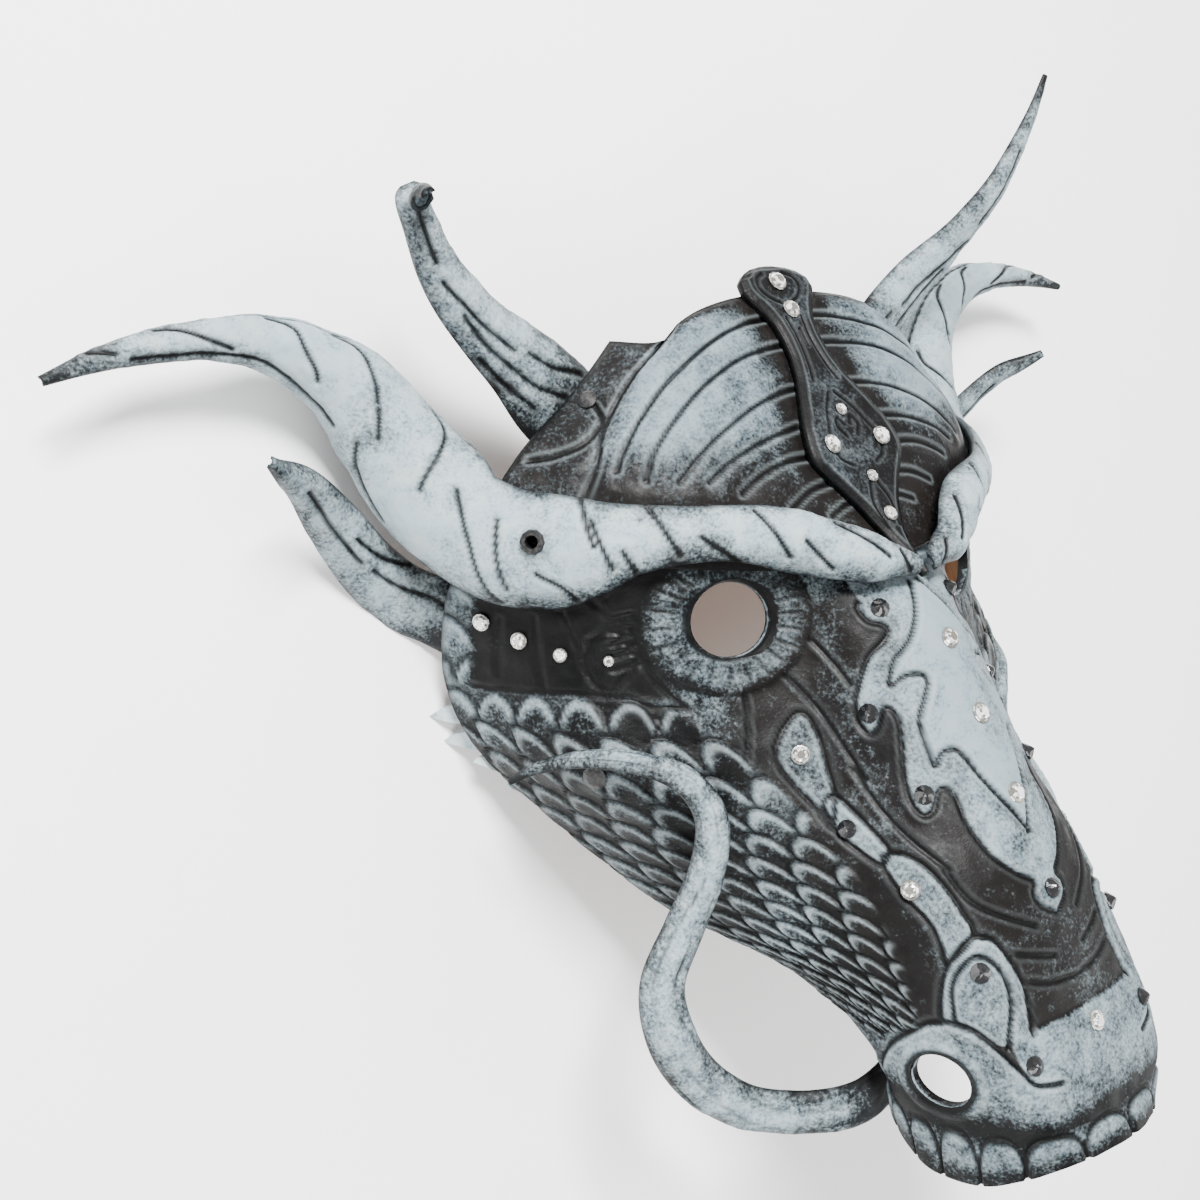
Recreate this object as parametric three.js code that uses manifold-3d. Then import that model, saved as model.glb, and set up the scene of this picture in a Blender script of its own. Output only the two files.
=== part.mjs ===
// Leather dragon mask: a wet-formed face and crown with horns, barbels, jaw spikes,
// a crest strap, set stones and rivets. Millimetres, +Z up, the mask lying on its back.
import * as THREE from 'three';
import * as BufferGeometryUtils from 'three/addons/utils/BufferGeometryUtils.js';
import Module from 'manifold-3d';

const wasm = await Module();
wasm.setup();

// ---------------------------------------------------------------- driving sizes
const LEATHER = 2.6;        // thickness of the formed leather
const HORN_LEATHER = 2.4;   // thickness of the rolled horns
const GAP = 0.35;           // clearance between pieces that touch
const SEAT = 0.55;          // extra room under the edges of the brow horns
const CROWN_LIFT = 0.35;    // the crown lies over the face by this gap
const EYE_HOLE = [22, 19];  // eye opening, width and height
const NOSTRIL = [15, 12.5]; // nostril opening, length and height
const CROWN_END = 4.28;     // station where the crown ends under the brow horns
const FACE_START = 3.75;    // station where the face starts under the crown
const STONE_R = 2.4;        // set stones
const PITCH_DEG = 0.66;        // tilt of the lying mask about X
const LIFT = 93.6, SHIFT_Y = 2.9; // moves the resting points to the ground and the origin under the middle

// Design frame of the sections: x across the face, y up the forehead, z out of the face,
// with its origin at the brow point between the horns.
// Each section runs from the middle of the face to its rim: [across, up, out].
const SECTIONS = {
  crownEdge:  [[0, 78.3, -43], [15, 77.3, -42], [28, 74.8, -41.2], [36.5, 71.4, -41], [42.5, 67.9, -41.8], [48.5, 70.2, -52]],
  crownRoll:  [[0, 70.5, -39.3], [18, 70, -37.5], [32, 67.8, -36.5], [43, 64.2, -38], [50.3, 60.7, -43.5], [56.5, 62, -54]],
  crownTop:   [[0, 55, -32.2], [21, 55.5, -30.5], [37, 55, -31.5], [49.5, 53.5, -36.3], [57, 52.5, -45], [65, 54.8, -56.2]],
  crownMid:   [[0, 36, -23.5], [22, 36.5, -23], [41, 38, -26.5], [55.5, 39.5, -32.5], [67, 41.5, -44], [80, 43.5, -58.5]],
  crownLow:   [[0, 11, -12.6], [21, 12.6, -15.6], [39, 15, -21.5], [58, 18.5, -30], [78, 24, -48], [92, 28, -64]],
  eyes:       [[0, -8, 1.5], [19, -6, -7.5], [33, -3.5, -21.5], [57, 1, -30], [78, 6, -50], [95.5, 12, -77]],
  underEyes:  [[0, -28, 9], [19, -26, 0], [33, -22.5, -17.5], [57, -19, -31.5], [79, -14, -50], [94.5, -10, -85.5]],
  midSnout:   [[0, -50, 17.8], [20.6, -50, 8.2], [35, -46.5, -11], [57, -41.5, -27], [80, -35.5, -44.5], [89.5, -29.5, -82.5]],
  lowCheek:   [[0, -70, 24.5], [24, -70, 17], [35.5, -67, -2], [48, -63.5, -21], [64, -58.5, -39.5], [75, -54, -69.5]],
  stopSnout:  [[0, -90, 30], [26, -90, 24], [34.5, -88, 8], [41, -85.5, -10], [48, -83, -28], [56, -80, -53]],
  nostrils:   [[0, -110, 35], [26, -110, 31], [34, -108, 18], [38, -104, 2], [40.5, -100, -10], [42, -94, -28]],
  noseFront:  [[0, -125, 39], [23, -125, 36], [33, -123, 24], [37, -120, 10], [38, -117, 0], [36, -112, -5]],
  lip:        [[0, -138, 42], [20, -140, 35], [30, -144, 22], [34, -143, 10], [35, -138, 3], [34, -130, -4]],
};
const ROWS = Object.values(SECTIONS);
const NS = ROWS.length - 1, NR = ROWS[0].length - 1;

// Horns and barbels: stations of [x, y, z of the crest, half width, bulge, wrap angle in degrees,
// outward direction x, y, z]; x is across to the named side.
const BROW_HORN = [
  [2.6, 4, 2.2, 2.6, 2.4, 80, 0.1, 0.1, 1],
  [8, 6, 1.8, 4.2, 4, 82, 0.15, 0.1, 1],
  [17, 8.8, 1.4, 6.6, 6.5, 85, 0.25, 0.1, 1],
  [33, 15.3, -5.8, 8.1, 9, 88, 0.38, 0.1, 0.96],
  [48, 20.3, -13.8, 9, 10, 90, 0.45, 0.12, 0.95],
  [64, 22.8, -24.6, 12.4, 12, 92, 0.5, 0.15, 0.9],
  [79, 23.9, -35.4, 15.8, 13.5, 94, 0.52, 0.12, 0.87],
  [91, 27, -48.6, 17.6, 14, 100, 0.5, 0, 0.88],
  [101, 40, -61, 15.8, 13, 110, 0.45, 0, 0.9],
  [108, 55.9, -67.6, 13.4, 12, 120, 0.4, 0, 0.92],
  [116, 70.3, -70, 10.4, 9.6, 124, 0.35, 0, 0.93],
  [130, 80.8, -72, 7.2, 6.6, 124, 0.25, 0.1, 0.95],
  [146, 84, -72.5, 4.9, 4.5, 122, 0.2, 0.15, 0.95],
  [163, 83.2, -74.5, 3.6, 3.2, 118, 0.15, 0.2, 0.94],
  [175, 80.8, -74.7, 2.4, 2.2, 112, 0.15, 0.2, 0.94],
  [186, 77.6, -74.5, 1.2, 1.2, 100, 0.15, 0.2, 0.94],
];
const UPPER_HORN_RIGHT = [
  [50, 48, -61.5, 12.8, 5, 80, 0.42, 0.2, 0.9],
  [61, 59.2, -60.6, 12.6, 5.5, 84, 0.4, 0.2, 0.9],
  [71, 69.1, -58.6, 10.2, 5.4, 88, 0.38, 0.15, 0.92],
  [81, 77.2, -56.4, 8.1, 5, 92, 0.36, 0.1, 0.94],
  [91, 85.9, -53.4, 6.5, 4.4, 96, 0.36, 0, 0.93],
  [98, 94, -50.4, 5.2, 3.8, 100, 0.4, 0, 0.9],
  [102, 102, -48.3, 4.3, 3.2, 102, 0.45, 0.05, 0.88],
  [105.5, 107.6, -45, 3.6, 2.7, 100, 0.45, 0.4, 0.7],
  [108, 109.4, -38.5, 2.6, 2.1, 96, 0.4, 0.8, 0.3],
  [109.5, 107.4, -33, 1.7, 1.6, 92, 0.3, 0.9, -0.1],
];
const UPPER_HORN_LEFT = [
  [50, 48, -61.5, 12.8, 5, 80, 0.42, 0.2, 0.9],
  [61, 59.4, -60.6, 12.4, 5.5, 84, 0.4, 0.2, 0.9],
  [70.5, 70.5, -58.2, 10, 5.4, 88, 0.38, 0.15, 0.92],
  [79.5, 80, -54, 8, 5, 92, 0.36, 0.1, 0.94],
  [89, 87.6, -48, 7, 4.6, 96, 0.36, 0, 0.93],
  [96, 96, -40.8, 6.2, 4.2, 100, 0.4, 0, 0.9],
  [102, 104.7, -35.2, 5.2, 3.7, 102, 0.42, 0, 0.88],
  [108, 115.2, -31.5, 3.8, 2.9, 102, 0.42, 0, 0.88],
  [114, 125.8, -28.8, 2.7, 2.2, 98, 0.45, 0, 0.86],
  [120, 137.4, -27.3, 1.3, 1.3, 94, 0.5, 0, 0.85],
];
const TEMPLE_HORN = [
  [87, 1, -81, 9, 3.2, 76, 0.8, 0, 0.6],
  [94, 8, -85.2, 9.6, 3.6, 80, 0.75, 0, 0.66],
  [103, 14.5, -87, 9, 4.2, 84, 0.7, 0.1, 0.7],
  [112, 23, -84, 8, 4.4, 88, 0.6, 0.2, 0.75],
  [123, 36, -77, 6.6, 4, 92, 0.55, 0.2, 0.8],
  [134, 47, -67, 4, 3, 96, 0.5, 0.2, 0.83],
  [145, 53, -57, 1.4, 1.3, 92, 0.45, 0.2, 0.85],
];
const BARBEL_ROOT = [
  [25, -126.5, -8.2, 5.2, 2.8, 78, 0.15, 0.1, 1],
  [32, -129.3, -8.8, 5.8, 2.8, 80, 0.2, 0.1, 0.98],
  [38.5, -130.6, -9.8, 6.1, 3.2, 82, 0.3, 0, 0.95],
  [47, -130, -12, 6.2, 3.4, 84, 0.4, -0.1, 0.9],
  [56, -128.4, -17.2, 6.2, 3.5, 84, 0.45, -0.15, 0.88],
  [66, -124.2, -23.4, 6.2, 3.6, 86, 0.5, -0.15, 0.86],
  [76, -113.6, -26.2, 6.3, 3.7, 88, 0.5, -0.05, 0.86],
  [83, -99.6, -25.4, 6.3, 3.8, 88, 0.5, 0, 0.86],
  [82, -86.7, -27, 5.8, 3.6, 88, 0.5, 0, 0.86],
];
const BARBEL_RIGHT = [...BARBEL_ROOT,
  [74, -74.5, -25.4, 5.3, 3.3, 88, 0.48, 0, 0.87],
  [68.5, -60, -19.9, 4.7, 3, 88, 0.45, 0.1, 0.86],
  [67.5, -46.5, -16.8, 4.2, 2.7, 88, 0.42, 0.35, 0.8],
  [72, -36, -17.6, 3.7, 2.4, 88, 0.4, 0.6, 0.7],
  [79.5, -29.6, -23.8, 3.2, 2.1, 86, 0.42, 0.7, 0.6],
  [87.5, -27.2, -36.5, 2.7, 1.9, 84, 0.48, 0.7, 0.5],
  [93.5, -29, -49, 2, 1.6, 82, 0.5, 0.7, 0.42],
  [98, -32.6, -57, 1.1, 1.1, 80, 0.5, 0.7, 0.4],
];
const BARBEL_LEFT = [...BARBEL_ROOT,
  [76, -74.5, -27.5, 5.3, 3.3, 88, 0.48, 0, 0.87],
  [73, -65, -31, 4.7, 3, 88, 0.45, 0.1, 0.86],
  [72, -56, -34, 4.1, 2.6, 88, 0.42, 0.3, 0.82],
  [75.5, -47, -36.4, 3.5, 2.3, 88, 0.42, 0.5, 0.74],
  [82, -40.5, -40.5, 3, 2.1, 86, 0.45, 0.6, 0.64],
  [89.5, -36, -48.5, 2.3, 1.7, 84, 0.5, 0.6, 0.55],
  [95.5, -34.5, -57, 1.1, 1.1, 80, 0.5, 0.6, 0.5],
];
// Crest strap: [station, half width]; above STRAP_FREE it runs on straight and stands proud of the crown.
const STRAP_FREE = 0.3;
const STRAP = [[-0.99, 1.2], [-0.93, 6], [-0.72, 10], [-0.41, 12.8], [0.03, 13.2], [0.49, 11.6], [0.91, 9.2], [1.19, 7.7], [1.49, 7.2], [1.79, 7.6],
  [2.14, 9.4], [2.53, 13.1], [2.83, 15.9], [3.06, 17.1], [3.2, 17], [3.32, 14.8], [3.5, 11], [3.72, 7], [4, 3.9], [4.3, 2.2], [4.66, 0.8]];
// Jaw spikes behind the cheek edge: [station, length, half width in stations, direction x, y, z]
const SPIKE_RANGE = [6.3, 8.22], SPIKE_BAND = 0.12;
const SPIKES = [[6.56, 10.1, 0.19, 0.7, 0.08, -0.7], [6.97, 12.2, 0.18, 0.56, 0.05, -0.83], [7.33, 9.6, 0.16, 0.82, 0.3, -0.45], [7.65, 8.4, 0.15, 0.83, 0.38, -0.38], [7.95, 6, 0.14, 0.8, 0.4, -0.4]];
// Set stones: [name, station, share across, kind, size factor]; paired ones are made on both sides.
const CENTRE_STONES = [
  ['strap_1', -0.181, 0, 'clear', 1.05, 2], ['strap_2', 0.927, 0, 'clear', 1, 2], ['strap_3', 2.665, 0, 'clear', 0.66, 2],
  ['strap_5', 3.443, 0, 'clear', 0.66, 2], ['strap_6', 3.853, 0, 'clear', 0.8, 2],
  ['snout_1', 5.394, 0, 'clear', 1.05, 0], ['snout_2', 6.319, 0, 'clear', 1.05, 0], ['snout_3', 7.23, 0, 'clear', 1.05, 0],
  ['nose', 10.034, 0, 'clear', 0.95, 0], ['plate_tip', 8.408, 0, 'black', 1, 0]];
const PAIR_STONES = [
  ['strap_4', 3.059, 0.087, 'clear', 1, 2],
  ['temple_1', 5.203, 0.935, 'clear', 0.9, 0], ['temple_2', 5.4, 0.875, 'clear', 0.85, 0], ['temple_3', 5.554, 0.812, 'clear', 0.7, 0], ['temple_4', 5.601, 0.734, 'clear', 0.52, 0],
  ['flank_1', 6.684, 0.428, 'clear', 0.95, 0], ['flank_2', 7.501, 0.387, 'black', 0.95, 0], ['flank_3', 8.146, 0.3, 'clear', 0.95, 0], ['flank_4', 9.06, 0.209, 'black', 1, 0],
  ['plate_1', 4.922, 0.138, 'black', 1, 0], ['plate_2', 6.217, 0.262, 'black', 1, 0], ['plate_3', 7.035, 0.2, 'black', 1, 0], ['nose_side', 10.211, 0.173, 'black', 0.95, 0]];
const EYELET = { at: 6.72, flange: 3.2, hole: 1.7, barrel: 1.85, bore: 2.2, thick: 0.8, depth: 3.4 };
const CROWN_SNAP = { s: 1.753, v: 0.915, r: 2.6, h: 1.4 };
const CHEEK_RIVET = { s: 6.99, v: 0.80, r: 3.2, h: 1.2 };
const EYE = { s: 5.049, v: 0.504 }, NOSTRIL_AT = { s: 10.735, v: 0.5 };

// ---------------------------------------------------------------- curves and surfaces
function crWeights(n, t) {
  const i = Math.max(0, Math.min(n - 1, Math.floor(t))), f = t - i;
  return { i, w: [(-f + 2 * f * f - f ** 3) / 2, (2 - 5 * f * f + 3 * f ** 3) / 2, (f + 4 * f * f - 3 * f ** 3) / 2, (f ** 3 - f * f) / 2] };
}
// smooth curve through rows of numbers, ends carried on straight
function curveAt(rows, t) {
  const n = rows.length - 1;
  if (t < 0) { const a = curveAt(rows, 0), b = curveAt(rows, 0.05); return a.map((v, k) => v + (a[k] - b[k]) * (-t) / 0.05); }
  if (t > n) { const a = curveAt(rows, n), b = curveAt(rows, n - 0.05); return a.map((v, k) => v + (a[k] - b[k]) * (t - n) / 0.05); }
  const { i, w } = crWeights(n, t);
  const get = (j) => j < 0 ? rows[0].map((v, k) => 2 * v - rows[1][k]) : j > n ? rows[n].map((v, k) => 2 * v - rows[n - 1][k]) : rows[j];
  const out = rows[0].map(() => 0);
  for (let k = 0; k < 4; k++) { const r = get(i + k - 1); for (let c = 0; c < out.length; c++) out[c] += w[k] * r[c]; }
  return out;
}
// point of the formed sheet: station s (0 crown edge .. NS lip), v (-1 .. 1 across)
function sheet(s, v) {
  if (Math.abs(v) > 1) {
    const g = Math.sign(v), a = sheet(s, g), b = sheet(s, g * 0.97);
    return a.clone().addScaledVector(a.clone().sub(b), (Math.abs(v) - 1) / 0.03);
  }
  const t = Math.abs(v) * NR, { i, w } = crWeights(NR, Math.min(t, NR));
  const out = [0, 0, 0];
  for (let k = 0; k < 4; k++) {
    let j = i + k - 1, q;
    const rail = (m) => curveAt(ROWS.map((r) => r[m]), s);
    if (j < 0) { q = rail(-j); q = [-q[0], q[1], q[2]]; }
    else if (j > NR) { const a = rail(NR), b = rail(NR - 1); q = a.map((x, c) => 2 * x - b[c]); }
    else q = rail(j);
    for (let c = 0; c < 3; c++) out[c] += w[k] * q[c];
  }
  if (v < 0) out[0] = -out[0];
  return new THREE.Vector3(...out);
}
function sheetNormal(s, v) {
  const e = 0.02, a = sheet(s - e, v), b = sheet(s + e, v);
  const v0 = Math.max(-1, v - e), v1 = Math.min(1, v + e);
  const c = sheet(s, v0), d = sheet(s, v1);
  return b.sub(a).cross(d.sub(c)).normalize();
}
const offsetSheet = (s, v, h) => sheet(s, v).addScaledVector(sheetNormal(s, v), h);

// ---------------------------------------------------------------- solids
function toGeometry(pos, idx) {
  const g = new THREE.BufferGeometry();
  g.setAttribute('position', new THREE.Float32BufferAttribute(pos, 3));
  g.setIndex(idx);
  return g;
}
// closed solid between two grids of points with the same layout
function slab(nu, nv, outer, inner) {
  const pos = [], idx = [], N = (nu + 1) * (nv + 1), at = (i, j) => i * (nv + 1) + j;
  for (const f of [outer, inner]) for (let i = 0; i <= nu; i++) for (let j = 0; j <= nv; j++) { const p = f(i / nu, j / nv); pos.push(p.x, p.y, p.z); }
  for (let i = 0; i < nu; i++) for (let j = 0; j < nv; j++) {
    const a = at(i, j), b = at(i + 1, j), c = at(i + 1, j + 1), d = at(i, j + 1);
    idx.push(a, b, c, a, c, d, N + a, N + c, N + b, N + a, N + d, N + c);
  }
  const edge = (a, b) => idx.push(a, N + b, b, a, N + a, N + b);
  for (let i = 0; i < nu; i++) { edge(at(i, 0), at(i + 1, 0)); edge(at(i + 1, nv), at(i, nv)); }
  for (let j = 0; j < nv; j++) { edge(at(nu, j), at(nu, j + 1)); edge(at(0, j + 1), at(0, j)); }
  return orient(toGeometry(pos, idx));
}
function signedVolume(g) {
  const p = g.attributes.position.array, ix = g.index.array; let v = 0;
  for (let k = 0; k < ix.length; k += 3) {
    const a = 3 * ix[k], b = 3 * ix[k + 1], c = 3 * ix[k + 2];
    v += p[a] * (p[b + 1] * p[c + 2] - p[b + 2] * p[c + 1]) - p[a + 1] * (p[b] * p[c + 2] - p[b + 2] * p[c]) + p[a + 2] * (p[b] * p[c + 1] - p[b + 1] * p[c]);
  }
  return v / 6;
}
function orient(g) {
  if (signedVolume(g) < 0) { const ix = g.index.array; for (let k = 0; k < ix.length; k += 3) { const t = ix[k + 1]; ix[k + 1] = ix[k + 2]; ix[k + 2] = t; } }
  return g;
}
function toManifold(g) {
  let q = g.clone(); q.deleteAttribute('normal'); q.deleteAttribute('uv'); q = BufferGeometryUtils.mergeVertices(q, 1e-4);
  return new wasm.Manifold(new wasm.Mesh({ numProp: 3, vertProperties: new Float32Array(q.attributes.position.array), triVerts: new Uint32Array(q.index.array) }));
}
function fromManifold(m) {
  const parts = m.decompose(); let best = parts[0];
  for (const q of parts) if (q.volume() > best.volume()) best = q;
  const r = best.getMesh();
  return toGeometry(Array.from(r.vertProperties), Array.from(r.triVerts));
}
// height of a point over the formed sheet, with the place on the sheet below it
function over(p, s = 4, v = 0.5) {
  const e = 0.01;
  for (let k = 0; k < 12; k++) {
    const q = sheet(s, v), r = p.clone().sub(q), a = sheet(s + e, v).sub(q).divideScalar(e), b = sheet(s, v + e).sub(q).divideScalar(e);
    const aa = a.dot(a), ab = a.dot(b), bb = b.dot(b), ra = r.dot(a), rb = r.dot(b), det = aa * bb - ab * ab;
    s += THREE.MathUtils.clamp((ra * bb - rb * ab) / det, -0.5, 0.5); v += THREE.MathUtils.clamp((rb * aa - ra * ab) / det, -0.1, 0.1);
    s = THREE.MathUtils.clamp(s, 0.2, 8); v = THREE.MathUtils.clamp(v, 0.001, 1.1);
  }
  return { s, v, h: p.clone().sub(sheet(s, v)).dot(sheetNormal(s, v)) };
}
// room left over the crown or the face, large where a point is past their rims
function room(p) {
  const { s, v, h } = over(p);
  if (v > 1.03 || s < 0.5) return 99;
  return h - (s < CROWN_END + 0.1 ? CROWN_LIFT + LEATHER : 0) - GAP - SEAT;
}
// rolled leather horn: an arc section swept along its crest; a seated one ends each side just over the sheet
function trough(stations, steps, arc, thick, mirror, seated = false) {
  const ring = [], m = mirror ? -1 : 1;
  for (let i = 0; i <= steps; i++) {
    const t = (i / steps) * (stations.length - 1);
    const r = curveAt(stations, t), r1 = curveAt(stations, Math.min(t + 0.03, stations.length - 1)), r0 = curveAt(stations, Math.max(t - 0.03, 0));
    const P = new THREE.Vector3(r[0], r[1], r[2]);
    const T = new THREE.Vector3(r1[0] - r0[0], r1[1] - r0[1], r1[2] - r0[2]).normalize();
    const n = new THREE.Vector3(r[6], r[7], r[8]); n.addScaledVector(T, -n.dot(T)).normalize();
    const side = new THREE.Vector3().crossVectors(T, n);
    const w = r[3], b = r[4], psi = THREE.MathUtils.degToRad(r[5]);
    const th = Math.min(thick, 0.55 * w, 0.55 * b);
    const at = (a, k) => P.clone().addScaledVector(side, (w - k * th) * Math.sin(a)).addScaledVector(n, (b - k * th) * Math.cos(a) - b);
    const ends = [-1, 1].map((g) => {
      if (!seated) return g * psi;
      const low = (a) => Math.min(room(at(g * a, 0)), room(at(g * a, 1)));
      let a = 0.4; while (a < psi && low(a + 0.06) > 0) a += 0.06;
      return g * Math.min(a, psi);
    });
    const pts = [];
    for (let k = 0; k < 2; k++) for (let j = 0; j <= arc; j++) { const f = (k ? arc - j : j) / arc, q = at(ends[0] + (ends[1] - ends[0]) * f, k); pts.push(new THREE.Vector3(q.x * m, q.y, q.z)); }
    ring.push(pts);
  }
  const M = ring[0].length, pos = [], idx = [];
  for (const r of ring) for (const p of r) pos.push(p.x, p.y, p.z);
  for (let i = 0; i < steps; i++) for (let j = 0; j < M; j++) { const a = i * M + j, b = i * M + (j + 1) % M, c = a + M, d = b + M; idx.push(a, b, d, a, d, c); }
  for (let j = 0; j < arc; j++) { const o = 0, a = j, b = j + 1, c = M - 1 - j, d = M - 2 - j; idx.push(o + a, o + d, o + b, o + a, o + c, o + d); const e = steps * M; idx.push(e + a, e + b, e + d, e + a, e + d, e + c); }
  return orient(toGeometry(pos, idx));
}

// solid of revolution standing on a point, its axis along a direction
function turned(profile, sides, at, axis, squash = [1, 1], across = null) {
  const g = new THREE.LatheGeometry(profile.map(([r, h]) => new THREE.Vector2(r, h)), sides);
  const y = axis.clone().normalize(), x = (across ?? new THREE.Vector3(1, 0, 0)).clone().addScaledVector(y, -(across ?? new THREE.Vector3(1, 0, 0)).dot(y)).normalize();
  const z = new THREE.Vector3().crossVectors(x, y);
  g.applyMatrix4(new THREE.Matrix4().makeBasis(x.multiplyScalar(squash[0]), y, z.multiplyScalar(squash[1])).setPosition(at));
  return fixTurned(g);
}
function fixTurned(g) {
  g.deleteAttribute('normal'); g.deleteAttribute('uv');
  const q = BufferGeometryUtils.mergeVertices(g, 1e-4), ix = q.index.array, keep = [];
  for (let k = 0; k < ix.length; k += 3) if (ix[k] !== ix[k + 1] && ix[k + 1] !== ix[k + 2] && ix[k] !== ix[k + 2]) keep.push(ix[k], ix[k + 1], ix[k + 2]);
  q.setIndex(keep);
  return orient(q);
}
const rod = (r, h0, h1) => [[0, h0], [r, h0], [r, h1], [0, h1]];
const stationFrame = (stations, t, mirror) => {
  const m = mirror ? -1 : 1, r = curveAt(stations, t), a = curveAt(stations, t - 0.03), b = curveAt(stations, t + 0.03);
  const P = new THREE.Vector3(r[0] * m, r[1], r[2]), T = new THREE.Vector3((b[0] - a[0]) * m, b[1] - a[1], b[2] - a[2]).normalize();
  const n = new THREE.Vector3(r[6] * m, r[7], r[8]); n.addScaledVector(T, -n.dot(T)).normalize();
  return { P, T, n };
};

// ---------------------------------------------------------------- lying pose
const lying = new THREE.Group();
lying.rotation.x = THREE.MathUtils.degToRad(PITCH_DEG);
lying.position.set(0, SHIFT_Y, LIFT);
lying.updateMatrix();
const ground = new THREE.BoxGeometry(600, 600, 60).translate(0, 0, -30).applyMatrix4(lying.matrix.clone().invert());
const restFlat = (m) => m.subtract(toManifold(ground));

const leather = (c, r = 0.55) => new THREE.MeshStandardMaterial({ color: c, roughness: r, metalness: 0 });
const clearStone = () => new THREE.MeshStandardMaterial({ color: 0xe8ecee, roughness: 0.05, metalness: 0.1 });
const blackStone = () => new THREE.MeshStandardMaterial({ color: 0x111214, roughness: 0.15, metalness: 0.1 });
const metal = () => new THREE.MeshStandardMaterial({ color: 0x26282a, roughness: 0.35, metalness: 0.8 });
const group = new THREE.Group();
group.add(lying);
function add(name, geometry, material) { const m = new THREE.Mesh(geometry, material); m.name = name; lying.add(m); }

// ---------------------------------------------------------------- face: from under the brow horns to the lip
const CROWN_STEPS = 12, CROWN_COLS = 18, FACE_STEPS = 20, FACE_COLS = 22;
const faceGrid = (a, b) => [FACE_START + (NS - FACE_START) * a, 2 * b - 1];
// its upper margin sinks a little where the crown lies over it
const sink = (s) => -0.7 * Math.max(0, Math.min(1, (4.6 - s) / 0.6));
let face = toManifold(slab(FACE_STEPS, FACE_COLS, (a, b) => { const [s, v] = faceGrid(a, b); return offsetSheet(s, v, sink(s)); }, (a, b) => { const [s, v] = faceGrid(a, b); return offsetSheet(s, v, sink(s) - LEATHER); }));
for (const g of [-1, 1]) {
  for (const [at, size] of [[EYE, EYE_HOLE], [NOSTRIL_AT, NOSTRIL]]) {
    const n = sheetNormal(at.s, g * at.v), across = sheet(at.s, g * (at.v + 0.02)).sub(sheet(at.s, g * (at.v - 0.02)));
    face = face.subtract(toManifold(turned(rod(1, -9, 9), 16, sheet(at.s, g * at.v), n, [size[0] / 2, size[1] / 2], across)));
  }
}
add('face', fromManifold(restFlat(face)), leather(0x5d6468));

// ---------------------------------------------------------------- crown and its strap
const crownGrid = (a, b) => [CROWN_END * a, 2 * b - 1];
add('crown', slab(CROWN_STEPS, CROWN_COLS, (a, b) => offsetSheet(...crownGrid(a, b), CROWN_LIFT + LEATHER), (a, b) => offsetSheet(...crownGrid(a, b), CROWN_LIFT)), leather(0x858f94));
function strapHalf(s) {
  let k = 0; while (k < STRAP.length - 2 && s > STRAP[k + 1][0]) k++;
  const f = (s - STRAP[k][0]) / (STRAP[k + 1][0] - STRAP[k][0]);
  return STRAP[k][1] + (STRAP[k + 1][1] - STRAP[k][1]) * f;
}
function strapPoint(s, x, h) {
  const f = Math.max(s, STRAP_FREE), v = x / (sheet(f, 0.2).x / 0.2), n = sheetNormal(f, v);
  const p = sheet(f, v).addScaledVector(n, h);
  if (s < STRAP_FREE) p.addScaledVector(sheet(STRAP_FREE, 0).sub(sheet(STRAP_FREE + 0.1, 0)), (STRAP_FREE - s) * 10);
  return p;
}
const strapBase = CROWN_LIFT + LEATHER + GAP;
const STRAP_STEPS = STRAP.length - 1;
const strapGrid = (a, b, h) => { const k = a * STRAP_STEPS, i = Math.min(STRAP_STEPS - 1, Math.floor(k)), s = STRAP[i][0] + (STRAP[i + 1][0] - STRAP[i][0]) * (k - i); return strapPoint(s, strapHalf(s) * (2 * b - 1), h); };
add('crest_strap', slab(STRAP_STEPS, 2, (a, b) => strapGrid(a, b, strapBase + LEATHER), (a, b) => strapGrid(a, b, strapBase)), leather(0x4c5154));

// ---------------------------------------------------------------- horns and barbels
const eyeletFrame = (mir) => stationFrame(BROW_HORN, EYELET.at, mir);
const browHorn = (mir) => fromManifold(toManifold(trough(BROW_HORN, 24, 8, HORN_LEATHER, mir, true))
  .subtract(toManifold(turned(rod(EYELET.bore, -4.6, 3), 12, eyeletFrame(mir).P, eyeletFrame(mir).n))));
for (const [side, mir] of [['right', true], ['left', false]]) {
  add('brow_horn_' + side, browHorn(mir), leather(0xc9d1d3));
  const e = EYELET, q = GAP, { P, n } = eyeletFrame(mir);
  add('eyelet_' + side, turned([[e.hole, -e.depth], [e.barrel, -e.depth], [e.barrel, q], [e.flange, q], [e.flange - 0.3, q + e.thick], [e.hole, q + e.thick], [e.hole, -e.depth]], 10, P, n), metal());
  add('upper_horn_' + side, trough(mir ? UPPER_HORN_RIGHT : UPPER_HORN_LEFT, 13, 4, HORN_LEATHER, mir), leather(0xb9c3c6));
  add('temple_horn_' + side, fromManifold(restFlat(toManifold(trough(TEMPLE_HORN, 10, 4, HORN_LEATHER, mir)))), leather(0xb9c3c6));
  add('barbel_' + side, trough(mir ? BARBEL_RIGHT : BARBEL_LEFT, 26, 3, HORN_LEATHER, mir), leather(0xb4bec2));
}

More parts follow.
